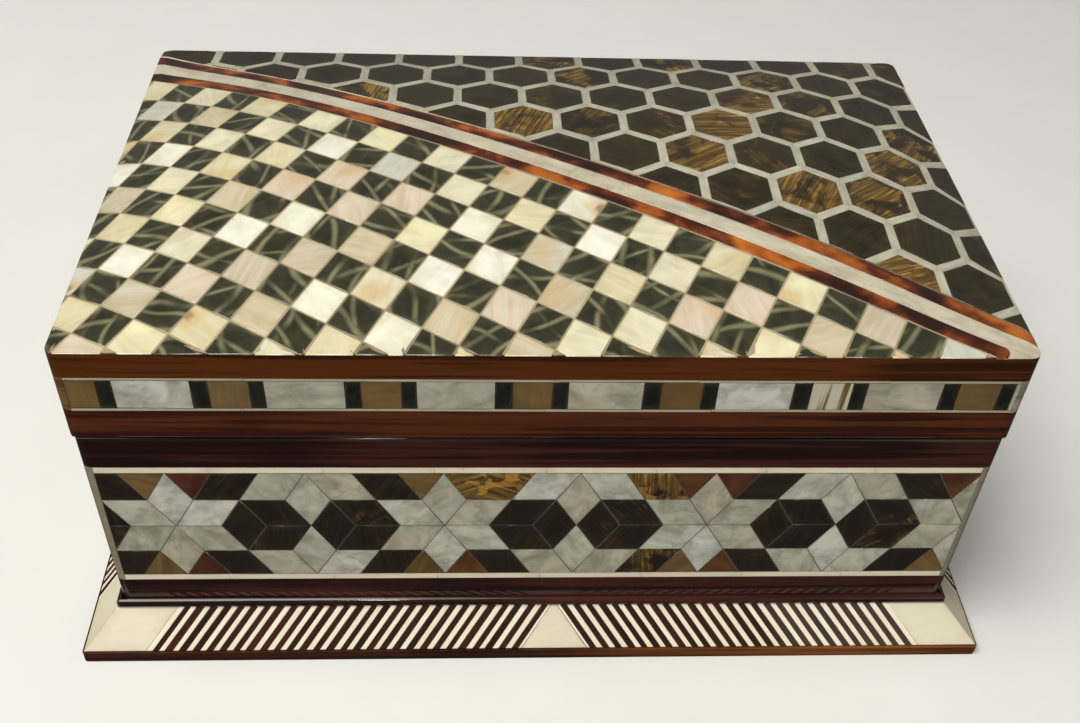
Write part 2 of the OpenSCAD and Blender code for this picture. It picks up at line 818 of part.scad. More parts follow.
// Bars of the lattice, one along each of three edges of every hexagon
function lattice_bars() =
    [
        for (column = [-2 : hexagon_columns], row = [-1 : hexagon_rows], k = [0 : 2])
            let (
                mid = hexagon_mid(column, row),
                outer = hexagon(mid, hexagon_pitch),
                inner = hexagon(mid, hexagon_pitch - lattice_w),
                step = hexagon_pitch * [cos(60 * k + 60), sin(60 * k + 60)],
                a = outer[k],
                b = outer[k + 1],
                shape = [a, step + inner[(k + 4) % 6], step + inner[(k + 3) % 6], b, inner[k + 1], inner[k]],
                cut = keep_inside(shape, honeycomb_lines)
            )
            if (area(cut) > sliver) cut
    ];

// A stripe of the diagonal band, in short lengths that bend with the top
function stripe(low, high, stop = 0) =
    let (
        reach = norm(lid_plan) / 2 + 10,
        count = 30,
        lines = concat(top_lines, stop > 0 ? [[[1, 0], lid_w / 2 - stop]] : [])
    )
    [
        for (i = [0 : count - 1])
            let (
                u = -reach + 2 * reach * i / count,
                next = -reach + 2 * reach * (i + 1) / count,
                length = [slanted(u, low), slanted(next, low), slanted(next, high), slanted(u, high)],
                cut = keep_inside(length, lines)
            )
            if (area(cut) > sliver) cut
    ];

module diagonal_pearl_stripe() {
    past_tip = [[[-1, 0], stripe_stop - lid_w / 2 - stripe_seam]];
    color(pearl) {
        for (shape = stripe(pearl_v[0], pearl_v[1])) laid(shape);
        for (shape = stripe(front_shell_v[0], pearl_v[0])) {
            end = keep_inside(shape, past_tip);
            if (area(end) > sliver) laid(end);
        }
    }
}

// ---- One module per sub-part ----

module plinth_front_rail() plinth_rail(0);
module plinth_right_rail() plinth_rail(1);
module plinth_back_rail() plinth_rail(2);
module plinth_left_rail() plinth_rail(3);
module plinth_bead() for (side = [0 : 3]) bead_strip(side);
module plinth_dark_stripes() color(wood_dark) slope_stripes(0, 1 - stripe_w / stripe_pitch);
module plinth_bone_stripes() color(bone) slope_stripes(1 - stripe_w / stripe_pitch, 1);
module plinth_bone_corners() color(bone) slope_corners();
module plinth_bone_triangles() color(bone) slope_triangles();
module front_panel() body_panel(0);
module right_panel() body_panel(1);
module back_panel() body_panel(2);
module left_panel() body_panel(3);
module body_bone_lines() side_lines(body_plan, [pocket_z, mosaic_z + mosaic_h], bone_line_h, mosaic_seam / 4);
module body_corner_strips() corner_strips(body_plan, pocket_z, pocket_h);
module mosaic_pearl_pieces() color(pearl) mosaic(both_ways(star_pearl()));
module mosaic_dark_pieces() color(horn_black) mosaic(concat(both_ways(star_dark()), star_dark_halves()));
module mosaic_brown_pieces() color(horn_brown) mosaic(both_ways(star_brown()));
module lining_front() lining_wall(0);
module lining_right() lining_wall(1);
module lining_back() lining_wall(2);
module lining_left() lining_wall(3);
module left_hinge_body_leaf() hinge_leaf(-hinge_x, body_leaf_z, [0, 2], false);
module right_hinge_body_leaf() hinge_leaf(hinge_x, body_leaf_z, [0, 2], false);
module left_hinge_pin() hinge_pin(-hinge_x);
module right_hinge_pin() hinge_pin(hinge_x);
module body_leaf_screws() leaf_screws(body_leaf_z + leaf_t, false);
module lid_front_rail() lid_rail(0);
module lid_right_rail() lid_rail(1);
module lid_back_rail() lid_rail(2);
module lid_left_rail() lid_rail(3);
module lid_pale_lines() side_lines(lid_plan, [lid_pocket_z, band_z + band_h], pale_line_h, band_seam);
module lid_corner_strips() corner_strips(lid_plan, lid_pocket_z, lid_pocket_h);
module lid_black_bars() {
    color(horn_black) {
        band_pieces(0, bar_w);
        band_pieces(bar_w + panel_w, 2 * bar_w + panel_w);
    }
}
module lid_pearl_panels() color(pearl) band_pieces(bar_w, bar_w + panel_w);
module lid_brown_blocks() color(horn_brown) band_pieces(2 * bar_w + panel_w, lid_w);
module chequer_pearl_squares() color(pearl) for (shape = squares(0)) laid(shape);
module chequer_black_squares() color(horn_black) for (shape = squares(1)) laid(shape);
module honeycomb_shell_hexagons() color(horn_black) for (shape = hexagons()) laid(shape);
module honeycomb_lattice() {
    color(pearl)
        for (shape = lattice_bars())
            hull() laid(shape, lattice_sink);
}
module diagonal_front_shell_stripe() {
    color(tortoise)
        for (shape = stripe(front_shell_v[0], front_shell_v[1], stripe_stop)) laid(shape);
}
module diagonal_back_shell_stripe() {
    color(tortoise)
        for (shape = stripe(back_shell_v[0], back_shell_v[1])) laid(shape);
}
module diagonal_pale_line() {
    color(bone)
        for (shape = stripe(line_v[0], line_v[1])) laid(shape);
}
module left_hinge_lid_leaf() hinge_leaf(-hinge_x, lid_leaf_z, [1], true);
module right_hinge_lid_leaf() hinge_leaf(hinge_x, lid_leaf_z, [1], true);
module lid_leaf_screws() leaf_screws(lid_leaf_z, true);

base_board();
plinth_front_rail();
plinth_right_rail();
plinth_back_rail();
plinth_left_rail();
plinth_bead();
plinth_bone_stripes();
plinth_dark_stripes();
plinth_bone_corners();
plinth_bone_triangles();
front_panel();
right_panel();
back_panel();
left_panel();
body_bone_lines();
body_corner_strips();
mosaic_pearl_pieces();
mosaic_dark_pieces();
mosaic_brown_pieces();
lining_floor();
lining_front();
lining_right();
lining_back();
lining_left();
left_hinge_body_leaf();
right_hinge_body_leaf();
left_hinge_pin();
right_hinge_pin();
body_leaf_screws();
lid_front_rail();
lid_right_rail();
lid_back_rail();
lid_left_rail();
lid_top_board();
lid_pale_lines();
lid_corner_strips();
lid_pearl_panels();
lid_black_bars();
lid_brown_blocks();
chequer_pearl_squares();
chequer_black_squares();
honeycomb_shell_hexagons();
honeycomb_lattice();
diagonal_pearl_stripe();
diagonal_back_shell_stripe();
diagonal_front_shell_stripe();
diagonal_pale_line();
lid_lining();
left_hinge_lid_leaf();
right_hinge_lid_leaf();
lid_leaf_screws();
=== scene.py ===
"""Finishes and fine surfaces of an inlaid wooden box, laid over its fixed CAD frame."""

import json
import logging
import math
from dataclasses import dataclass, field
from enum import Enum
from typing import Callable, Iterable, Sequence

import bpy
import numpy as np
from mathutils import Matrix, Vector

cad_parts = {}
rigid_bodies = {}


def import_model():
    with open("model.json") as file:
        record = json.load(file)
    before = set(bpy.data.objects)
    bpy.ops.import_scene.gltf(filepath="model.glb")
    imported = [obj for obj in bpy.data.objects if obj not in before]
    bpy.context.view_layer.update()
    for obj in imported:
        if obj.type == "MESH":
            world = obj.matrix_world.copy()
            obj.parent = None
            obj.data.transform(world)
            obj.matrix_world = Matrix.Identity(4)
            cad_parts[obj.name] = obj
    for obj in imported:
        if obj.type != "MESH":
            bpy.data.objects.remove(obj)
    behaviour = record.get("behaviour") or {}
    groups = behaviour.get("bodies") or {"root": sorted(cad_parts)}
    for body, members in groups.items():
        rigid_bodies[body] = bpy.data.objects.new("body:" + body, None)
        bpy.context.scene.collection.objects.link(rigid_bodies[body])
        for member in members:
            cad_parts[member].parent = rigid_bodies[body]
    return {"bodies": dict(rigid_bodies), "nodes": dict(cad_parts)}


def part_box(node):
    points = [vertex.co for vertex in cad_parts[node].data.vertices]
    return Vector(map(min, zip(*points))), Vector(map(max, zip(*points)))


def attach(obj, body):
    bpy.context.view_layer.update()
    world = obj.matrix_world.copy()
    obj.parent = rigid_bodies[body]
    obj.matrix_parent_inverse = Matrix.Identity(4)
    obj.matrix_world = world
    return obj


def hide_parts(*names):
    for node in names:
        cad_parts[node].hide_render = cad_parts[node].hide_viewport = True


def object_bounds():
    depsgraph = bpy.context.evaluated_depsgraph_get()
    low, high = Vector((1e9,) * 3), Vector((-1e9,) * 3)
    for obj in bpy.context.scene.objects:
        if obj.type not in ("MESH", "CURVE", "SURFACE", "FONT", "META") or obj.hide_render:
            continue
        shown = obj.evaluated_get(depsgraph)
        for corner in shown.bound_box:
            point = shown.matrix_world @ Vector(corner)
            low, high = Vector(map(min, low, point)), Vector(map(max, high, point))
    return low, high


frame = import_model()
CAD_BOX = [list(corner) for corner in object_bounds()]

LOG = logging.getLogger("inlaid_box")
Array = np.ndarray
Colour = tuple[float, float, float]
SEED = 1907
LEAST_TILE = 1.5e-6  # square metres: anything smaller is left out
CORNER_R = 0.0025


class Side(Enum):
    """The four sides of the box, numbered as they are met going round it."""

    FRONT = 0
    RIGHT = 1
    BACK = 2
    LEFT = 3


class Tone(Enum):
    """The kinds of boards, by the colour of their wood."""

    LID = "lid"
    UPPER = "upper"
    BODY = "body"
    BASE = "base"
    BEAD = "bead"


# ---------------------------------------------------------------- flat outlines


def clipped(shape: Array, normal: Sequence[float], limit: float) -> Array:
    """Cuts a convex outline with one line, keeping the points where normal . point <= limit.

    Args:
        shape: The outline's corners, (n, 2), counter-clockwise.
        normal: The line's outward normal.
        limit: The line's distance from the origin along that normal.

    Returns:
        The corners of what is left, (m, 2).
    """
    if len(shape) < 3:
        return shape[:0]
    over = shape @ np.asarray(normal, float) - limit
    after, over_after = np.roll(shape, -1, axis=0), np.roll(over, -1)
    share = np.divide(over, over - over_after, out=np.zeros_like(over), where=over != over_after)
    met = shape + (after - shape) * share[:, None]
    both = np.stack([shape, met], axis=1).reshape(-1, 2)
    keep = np.stack([over <= 0, over * over_after < 0], axis=1).ravel()
    return both[keep]


def clipped_all(shape: Array, lines: Iterable[tuple[Sequence[float], float]]) -> Array:
    """Cuts a convex outline with several (normal, limit) lines, one after another."""
    for normal, limit in lines:
        shape = clipped(shape, normal, limit)
    return shape


def edge_lines(shape: Array, margin: float = 0.0) -> list[tuple[Array, float]]:
    """The (normal, limit) lines along an outline's edges, each moved inwards by a margin."""
    step = np.roll(shape, -1, axis=0) - shape
    out = np.stack([step[:, 1], -step[:, 0]], axis=1) / np.linalg.norm(step, axis=1)[:, None]
    return list(zip(out, (out * shape).sum(axis=1) - margin))


def shrunk(shape: Array, margin: float) -> Array:
    """A convex outline with every edge moved inwards by a margin."""
    return clipped_all(shape, edge_lines(shape, margin))


def area_of(shape: Array) -> float:
    """The area of an outline, as half the sum of the cross products of its neighbouring corners."""
    if len(shape) < 3:
        return 0.0
    after = np.roll(shape, -1, axis=0)
    return 0.5 * abs(float((shape[:, 0] * after[:, 1] - shape[:, 1] * after[:, 0]).sum()))


def rounded_plan(width: float, depth: float, radius: float, steps: int = 5) -> Array:
    """A rectangle with round corners: each arc is its centre plus radius times (cos, sin) of the turn."""
    corner, step = np.meshgrid(np.arange(4), np.arange(steps + 1), indexing="ij")
    turn = (corner + step / steps).ravel() * math.pi / 2
    right = np.where((corner == 0) | (corner == 3), 1, -1).ravel()
    back = np.where(corner < 2, 1, -1).ravel()
    x = right * (width / 2 - radius) + radius * np.cos(turn)
    y = back * (depth / 2 - radius) + radius * np.sin(turn)
    return np.stack([x, y], axis=1)


def rectangle(x0: float, x1: float, y0: float, y1: float) -> Array:
    """A rectangle's corners, counter-clockwise from the lower left."""
    return np.array([[x0, y0], [x1, y0], [x1, y1], [x0, y1]])


def inset(shape: Array, distance: float) -> Array:
    """Corners moved inwards, so that every edge moves by a distance.

    Each corner moves by the distance times the sum of its two edges' normals over one plus their cosine.
    """
    step = np.roll(shape, -1, axis=0) - shape
    out = np.stack([step[:, 1], -step[:, 0]], axis=1) / np.linalg.norm(step, axis=1)[:, None]
    before = np.roll(out, 1, axis=0)
    cosine = (out * before).sum(axis=1)
    return shape - distance * (out + before) / (1 + cosine)[:, None]


# ---------------------------------------------------------------- surfaces that inlay is laid on


class Surface:
    """A surface with places (u, v) in metres along it, and a height above it."""

    def place(self, uv: Array, height: Array) -> Array:
        """The points in space of places on the surface, (n, 3)."""
        raise NotImplementedError

    def normals(self, uv: Array) -> Array:
        """The outward normals at those places, (n, 3)."""
        raise NotImplementedError


@dataclass(frozen=True)
class FlatFace(Surface):
    """A flat face: origin + u * right + v * up + height * out."""

    origin: tuple[float, float, float]
    right: tuple[float, float, float]
    up: tuple[float, float, float]
    out: tuple[float, float, float]

    def place(self, uv: Array, height: Array) -> Array:
        """The points in space of places on the face."""
        return (
            np.array(self.origin)
            + uv[:, :1] * np.array(self.right)
            + uv[:, 1:] * np.array(self.up)
            + height[:, None] * np.array(self.out)
        )

    def normals(self, uv: Array) -> Array:
        """The same outward direction for every place."""
        return np.tile(np.array(self.out, float), (len(uv), 1))


@dataclass(frozen=True)
class CushionTop(Surface):
    """The lid's cushion-shaped top.

    Its height above the edge is rise * (1 - |2x/width|^end_power) * (1 - |2y/depth|^side_power),
    and it rolls over by edge_drop in the last edge_roll before its rounded outline.
    """

    width: float
    depth: float
    edge_z: float
    rise: float
    end_power: float = 5.0
    side_power: float = 2.0
    corner_r: float = CORNER_R
    edge_roll: float = 0.0009
    edge_drop: float = 0.00055

    def depth_inside(self, uv: Array) -> Array:
        """How far places are inside the rounded outline, negative outside it."""
        q = np.abs(uv) - np.array([self.width / 2 - self.corner_r, self.depth / 2 - self.corner_r])
        outside = np.linalg.norm(np.maximum(q, 0), axis=1)
        return self.corner_r - outside - np.minimum(q.max(axis=1), 0)

    def place(self, uv: Array, height: Array) -> Array:
        """The points in space of places on the top."""
        a = np.minimum(np.abs(2 * uv[:, 0] / self.width), 1) ** self.end_power
        b = np.minimum(np.abs(2 * uv[:, 1] / self.depth), 1) ** self.side_power
        near = 1 - np.clip(self.depth_inside(uv) / self.edge_roll, 0, 1)
        z = self.edge_z + self.rise * (1 - a) * (1 - b) + height - self.edge_drop * near**2
        return np.column_stack([uv, z])

    def normals(self, uv: Array) -> Array:
        """Upward normals from the slopes of the height formula, without the rolled edge."""
        x, y = 2 * uv[:, 0] / self.width, 2 * uv[:, 1] / self.depth
        ax, ay = np.minimum(np.abs(x), 1), np.minimum(np.abs(y), 1)
        gx = self.rise * self.end_power * ax ** (self.end_power - 1) * np.sign(x) * 2 / self.width
        gy = self.rise * self.side_power * ay ** (self.side_power - 1) * np.sign(y) * 2 / self.depth
        up = np.column_stack(
            [gx * (1 - ay**self.side_power), gy * (1 - ax**self.end_power), np.ones(len(uv))]
        )
        return up / np.linalg.norm(up, axis=1)[:, None]


def wall_face(side: Side, half_x: float, half_y: float, z: float = 0.0) -> FlatFace:
    """The outer face of a wall: u runs to the right as seen from outside, v is the height."""
    turn = math.pi / 2 * side.value
    c, s = round(math.cos(turn)), round(math.sin(turn))
    reach = half_y if side.value % 2 == 0 else half_x
    return FlatFace((s * reach, -c * reach, z), (c, s, 0), (0, 0, 1), (s, -c, 0))


# ---------------------------------------------------------------- meshes


def mesh_piece(
    name: str,
    points: Array,
    faces: list[Array],
    uv: Array,
    middle: Array | None = None,
    values: dict[str, Array] | None = None,
    normals: Array | None = None,
) -> bpy.types.Object:
    """Makes an object from whole arrays.

    Args:
        name: The piece's name.
        points: Every point, (n, 3).
        faces: Blocks of faces, each (count, corners).
        uv: The grain coordinates of every point, (n, 2).
        middle: The coordinates of every point from its tile's middle, (n, 2).
        values: Named numbers for every point.
        normals: The shading normal of every point, or None for smooth shading.

    Returns:
        The object, linked to the scene.
    """
    mesh = bpy.data.meshes.new(name)
    corners = np.concatenate([block.ravel() for block in faces]).astype(np.int32)
    sizes = np.concatenate([np.full(len(block), block.shape[1]) for block in faces])
    starts = np.concatenate([[0], np.cumsum(sizes)[:-1]]).astype(np.int32)
    mesh.vertices.add(len(points))
    mesh.vertices.foreach_set("co", points.astype(np.float32).ravel())
    mesh.loops.add(len(corners))
    mesh.loops.foreach_set("vertex_index", corners)
    mesh.polygons.add(len(sizes))
    mesh.polygons.foreach_set("loop_start", starts)
    mesh.polygons.foreach_set("use_smooth", np.ones(len(sizes), bool))
    mesh.update(calc_edges=True)
    mesh.validate()
    for label, data in (("Grain", uv), ("Middle", middle)):
        if data is not None:
            layer = mesh.uv_layers.new(name=label)
            layer.data.foreach_set("uv", data[corners].astype(np.float32).ravel())
    for label, data in (values or {}).items():
        attribute = mesh.attributes.new(label, "FLOAT", "POINT")
        attribute.data.foreach_set("value", data.astype(np.float32))
    if normals is not None:
        mesh.normals_split_custom_set_from_vertices(normals.astype(np.float32))
    piece = bpy.data.objects.new(name, mesh)
    bpy.context.scene.collection.objects.link(piece)
    return piece


def grid_faces(rows: int, columns: int, close_rows: bool = False, close_columns: bool = False) -> Array:
    """Quads over a grid of points in row order: each joins (r, c), (r+1, c), (r+1, c+1), (r, c+1)."""
    r, c = np.meshgrid(
        np.arange(rows if close_rows else rows - 1),
        np.arange(columns if close_columns else columns - 1),
        indexing="ij",
    )
    r, c = r.ravel(), c.ravel()
    r2, c2 = (r + 1) % rows, (c + 1) % columns
    return np.stack([r * columns + c, r2 * columns + c, r2 * columns + c2, r * columns + c2], axis=1)


@dataclass
class Tile:
    """One flat piece of inlay: its outline, the direction of its grain and how it is coloured."""

    outline: Array
    grain: float = 0.0
    tint: float = 0.5
    glow: float = 0.0


@dataclass(frozen=True)
class TileCut:
    """How the tiles of one kind are cut: how deep they go, their rounded edge and how low they lie."""

    depth: float = 0.0005
    edge: float = 0.00012
    sink: float = 0.0
    waver: float = 0.0


BED_CUT = TileCut(depth=0.0004, edge=0.00001, sink=0.00012)


def lay_tiles(
    name: str, laid: Sequence[tuple[Surface, Tile]], cut: TileCut, rng: np.random.Generator
) -> bpy.types.Object:
    """Lays tiles on their surfaces as one mesh.

    Each tile is a stack of rings that are its outline moved inwards: the foot, the top of the wall,
    two rings of the rounded edge, a ring half-way in, and its middle. Tops take the surface's own
    normals, so that the polish runs smoothly from tile to tile.

    Args:
        name: The piece's name.
        laid: Each tile with the surface it lies on.
        cut: How the tiles are cut.
        rng: Seeded source of each tile's place in its material.

    Returns:
        The finished piece.
    """
    points, uvs, middles, normals = [], [], [], []
    tints, glows, rims = [], [], []
    quads, fans, feet = [], [], {}
    base = 0
    heights = np.array([-cut.depth, -cut.edge, -0.3 * cut.edge, 0.0, 0.0])
    # How strongly each ring takes the edge colouring: grime, and painted shade on pale tiles.
    rim_of_ring = np.array([1.0, 1.0, 0.85, 0.55, 0.0])
    for surface, tile in laid:
        outline = tile.outline
        n = len(outline)
        mid = outline.mean(axis=0)
        edge = min(cut.edge, 0.2 * math.sqrt(area_of(outline)))
        rounded = inset(outline, edge)
        if area_of(rounded) > area_of(outline) or n > 8:
            rounded = mid + (outline - mid) * 0.94
        rings = [outline, outline, outline + (rounded - outline) * 0.35, rounded, mid + (rounded - mid) * 0.5]
        flat = np.concatenate(rings + [mid[None]])
        ring = np.append(np.repeat(np.arange(5), n), 4)
        lean = rng.normal(0, cut.waver, 2)
        height = heights[ring] - cut.sink + (flat - mid) @ lean
        height[ring == 0] = -cut.depth - cut.sink
        placed = surface.place(flat, height)
        up = surface.normals(flat)
        away = np.concatenate(
            [
                np.tile(surface.place(outline, np.zeros(n)) - surface.place(rounded, np.zeros(n)), (5, 1)),
                [[0, 0, 0]],
            ]
        )
        away = away / np.maximum(np.linalg.norm(away, axis=1), 1e-9)[:, None]
        tilt = np.array([1.0, 0.7, 0.35, 0.0, 0.0])[ring][:, None]
        mixed = up * (1 - tilt) + away * tilt
        turn = np.array(
            [[math.cos(tile.grain), -math.sin(tile.grain)], [math.sin(tile.grain), math.cos(tile.grain)]]
        )
        points.append(placed)
        normals.append(mixed / np.linalg.norm(mixed, axis=1)[:, None])
        uvs.append((flat - mid) @ turn + rng.uniform(0, 1, 2))
        middles.append(flat - mid)
        tints.append(np.full(len(flat), tile.tint))
        glows.append(np.full(len(flat), tile.glow))
        rims.append(rim_of_ring[ring] * np.append(np.ones(5 * n), 0))
        i = np.arange(n)
        j = (i + 1) % n
        for low in range(4):
            a, b = base + low * n, base + (low + 1) * n
            quads.append(np.stack([a + i, a + j, b + j, b + i], axis=1))
        fans.append(np.stack([base + 4 * n + i, base + 4 * n + j, np.full(n, base + 5 * n)], axis=1))
        feet.setdefault(n, []).append(base + i[::-1])
        base += 5 * n + 1
    blocks = [np.concatenate(quads), np.concatenate(fans)] + [np.stack(rows) for rows in feet.values()]
    return mesh_piece(
        name,
        np.concatenate(points),
        blocks,
        np.concatenate(uvs),
        np.concatenate(middles),
        {"tint": np.concatenate(tints), "glow": np.concatenate(glows), "rim": np.concatenate(rims)},
        np.concatenate(normals),
    )


def dress(
    piece: bpy.types.Object, body: str, finish: "Finish", stands_for: Sequence[str] = ()
) -> bpy.types.Object:
    """Gives a piece its finish, ties it to its body and hides the CAD nodes it stands for."""
    piece.data.materials.clear()
    piece.data.materials.append(finish.material())
    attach(piece, body)
    if stands_for:
        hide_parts(*stands_for)
    LOG.info("%s: %d faces on %s", piece.name, len(piece.data.polygons), body)
    return piece


def inlay(rows: Iterable[tuple], rng: np.random.Generator, body: str) -> None:
    """Lays and dresses several kinds of tiles in order.

    Each row holds a name, the laid tiles, their cut, their finish and the nodes they stand for.
    """
    for name, laid, cut, finish, *nodes in rows:
        dress(lay_tiles(name, laid, cut, rng), body, finish, nodes)


# ---------------------------------------------------------------- node trees


class Tree:
    """A node tree with short ways to add nodes and join them."""

    def __init__(self, tree: bpy.types.NodeTree) -> None:
        """Starts from an existing tree."""
        self.tree = tree

    def join(self, value: object, socket: bpy.types.NodeSocket) -> None:
        """Links a socket to another, or sets its value."""
        if isinstance(value, bpy.types.NodeSocket):
            self.tree.links.new(value, socket)
        elif value is not None:
            if isinstance(value, tuple) and len(value) == 3 and socket.type == "RGBA":
                value = (*value, 1.0)
            socket.default_value = value

    def add(self, kind: str, inputs: dict | None = None, **settings: object) -> bpy.types.Node:
        """Adds a node, sets its properties and fills its inputs by name or number."""
        node = self.tree.nodes.new(kind)
        for key, value in settings.items():
            setattr(node, key, value)
        for key, value in (inputs or {}).items():
            self.join(value, node.inputs[key])
        return node

    def math(self, operation: str, a: object, b: object = None, c: object = None) -> bpy.types.NodeSocket:
        """One step of arithmetic."""
        return self.add("ShaderNodeMath", {0: a, 1: b, 2: c}, operation=operation).outputs[0]

    def times(self, a: object, b: object, plus: object = None) -> bpy.types.NodeSocket:
        """a times b, plus a third value if there is one."""
        return self.math("MULTIPLY" if plus is None else "MULTIPLY_ADD", a, b, plus)

    def vector(self, operation: str, *values: object) -> bpy.types.Node:
        """One step of vector arithmetic."""
        return self.add("ShaderNodeVectorMath", dict(enumerate(values)), operation=operation)

    def between(
        self, value: object, low: float, high: float, start: float = 0.0, end: float = 1.0
    ) -> bpy.types.NodeSocket:
        """A smooth step from start at low to end at high."""
        inputs = {"Value": value, "From Min": low, "From Max": high, "To Min": start, "To Max": end}
        return self.add("ShaderNodeMapRange", inputs, interpolation_type="SMOOTHSTEP").outputs[0]

    def mix(self, share: object, a: object, b: object, mode: str = "MIX") -> bpy.types.NodeSocket:
        """Two colours mixed by a share."""
        node = self.add("ShaderNodeMix", {0: share, 6: a, 7: b}, data_type="RGBA", blend_type=mode)
        return node.outputs[2]

    def ramp(
        self, value: object, stops: Sequence[tuple[float, Colour]], steps: bool = False
    ) -> bpy.types.NodeSocket:
        """A colour looked up along a row of stops."""
        node = self.add("ShaderNodeValToRGB", {0: value})
        node.color_ramp.interpolation = "CONSTANT" if steps else "LINEAR"
        elements = node.color_ramp.elements
        while len(elements) < len(stops):
            elements.new(0.5)
        for element, (place, colour) in zip(elements, stops):
            element.position = place
            element.color = (*colour, 1.0)
        return node.outputs[0]

    def noise(
        self, vector: object, scale: float, detail: float = 3.0, rough: float = 0.5, warp: float = 0.0
    ) -> bpy.types.NodeSocket:
        """Cloudy noise from 0 to 1."""
        inputs = {"Vector": vector, "Scale": scale, "Detail": detail, "Roughness": rough, "Distortion": warp}
        return self.add("ShaderNodeTexNoise", inputs).outputs["Fac"]

    def stretched(self, vector: object, scale: tuple[float, float, float]) -> bpy.types.NodeSocket:
        """A vector multiplied part by part."""
        return self.vector("MULTIPLY", vector, scale).outputs[0]


def shared_group(
    name: str, inputs: Sequence[tuple[str, str, float]], outputs: Sequence[str]
) -> tuple[Tree, bpy.types.Node, bpy.types.Node]:
    """A new shader node group with named sockets.

    Args:
        name: The group's name.
        inputs: Each input's name, socket type and default.
        outputs: The names of its outputs, all plain values.

    Returns:
        The group's tree, its input node and its output node.
    """
    group = bpy.data.node_groups.new(name, "ShaderNodeTree")
    for label, kind, default in inputs:
        socket = group.interface.new_socket(name=label, in_out="INPUT", socket_type=kind)
        if kind == "NodeSocketFloat":
            socket.default_value = default
    for label in outputs:
        group.interface.new_socket(name=label, in_out="OUTPUT", socket_type="NodeSocketFloat")
    tree = Tree(group)
    return tree, tree.add("NodeGroupInput"), tree.add("NodeGroupOutput")


def fibres_group() -> bpy.types.NodeTree:
    """Fibres drawn out along a vector's first part, and soft clouds under them."""
    made = bpy.data.node_groups.get("drawn_out_fibres")
    if made:
        return made
    number = "NodeSocketFloat"
    tree, start, end = shared_group(
        "drawn_out_fibres",
        [
            ("Vector", "NodeSocketVector", 0),
            ("Along", number, 40),
            ("Across", number, 400),
            ("Warp", number, 0.5),
            ("Cloud Scale", number, 120),
        ],
        ["Fibres", "Clouds"],
    )
    scale = tree.add(
        "ShaderNodeCombineXYZ",
        {0: start.outputs["Along"], 1: start.outputs["Across"], 2: start.outputs["Across"]},
    )
    drawn = tree.vector("MULTIPLY", start.outputs["Vector"], scale.outputs[0])
    fine = tree.add(
        "ShaderNodeTexNoise",
        {
            "Vector": drawn.outputs[0],
            "Scale": 1.0,
            "Detail": 4.0,
            "Roughness": 0.6,
            "Distortion": start.outputs["Warp"],
        },
    )
    cloud = tree.add(
        "ShaderNodeTexNoise",
        {
            "Vector": start.outputs["Vector"],
            "Scale": start.outputs["Cloud Scale"],
            "Detail": 3.0,
            "Roughness": 0.55,
            "Distortion": 0.6,
        },
    )
    tree.join(tree.between(fine.outputs["Fac"], 0.3, 0.7), end.inputs["Fibres"])
    tree.join(tree.between(cloud.outputs["Fac"], 0.3, 0.7), end.inputs["Clouds"])
    return tree.tree


def lacquer_group() -> bpy.types.NodeTree:
    """A thick hand-rubbed lacquer: slow ripples, small pits and patches rubbed duller."""
    made = bpy.data.node_groups.get("rubbed_lacquer")
    if made:
        return made
    number = "NodeSocketFloat"
    tree, start, end = shared_group(
        "rubbed_lacquer",
        [
            ("Vector", "NodeSocketVector", 0),
            ("Shine", number, 0.08),
            ("Dulling", number, 0.12),
            ("Ripple", number, 0.6),
            ("Pits", number, 0.4),
        ],
        ["Roughness", "Height"],
    )
    vector = start.outputs["Vector"]
    slow = tree.noise(vector, 70.0, 2.0)
    middle = tree.noise(vector, 330.0, 2.0)
    patches = tree.between(tree.noise(vector, 45.0, 4.0, 0.6), 0.45, 0.75)
    pits = tree.between(
        tree.add("ShaderNodeTexVoronoi", {"Vector": vector, "Scale": 420.0}).outputs["Distance"],
        0.0,
        0.16,
        1.0,
        0.0,
    )
    rare = tree.between(tree.noise(vector, 90.0, 1.0), 0.56, 0.66)
    pitted = tree.times(pits, rare)
    rough = tree.times(patches, start.outputs["Dulling"], start.outputs["Shine"])
    rough = tree.times(pitted, 0.25, rough)
    height = tree.times(tree.times(middle, 0.22, slow), start.outputs["Ripple"])
    height = tree.math("SUBTRACT", height, tree.times(pitted, start.outputs["Pits"]))
    tree.join(rough, end.inputs["Roughness"])
    tree.join(height, end.inputs["Height"])
    return tree.tree


def edge_grime_and_shade_group() -> bpy.types.NodeTree:
    """Old polish and dust gathered along the edges of tiles, and in stray specks; where its colour is darker
    than the tile, the edge part is painted shade as well.
    """
    made = bpy.data.node_groups.get("edge_grime_and_shade")
    if made:
        return made
    number = "NodeSocketFloat"
    tree, start, end = shared_group(
        "edge_grime_and_shade", [
            ("Vector", "NodeSocketVector", 0), ("Rim", number, 0), ("Amount", number, 0.5)
        ], ["Grime"]
    )
    vector = start.outputs["Vector"]
    broken = tree.between(tree.noise(vector, 260.0, 3.0, 0.6), 0.35, 0.7)
    # The edge part: grime, and painted shade that darkens pale tiles towards their edges.
    rim = tree.times(tree.math("POWER", start.outputs["Rim"], 2.0), tree.times(broken, 0.7, 0.3))
    speck = tree.between(
        tree.add("ShaderNodeTexVoronoi", {"Vector": vector, "Scale": 300.0}).outputs["Distance"],
        0.04,
        0.14,
        1.0,
        0.0,
    )
    speck = tree.times(speck, tree.between(tree.noise(vector, 60.0, 2.0), 0.58, 0.68))
    total = tree.times(tree.math("MAXIMUM", rim, speck), start.outputs["Amount"])
    tree.join(total, end.inputs["Grime"])
    return tree.tree


# ---------------------------------------------------------------- finishes


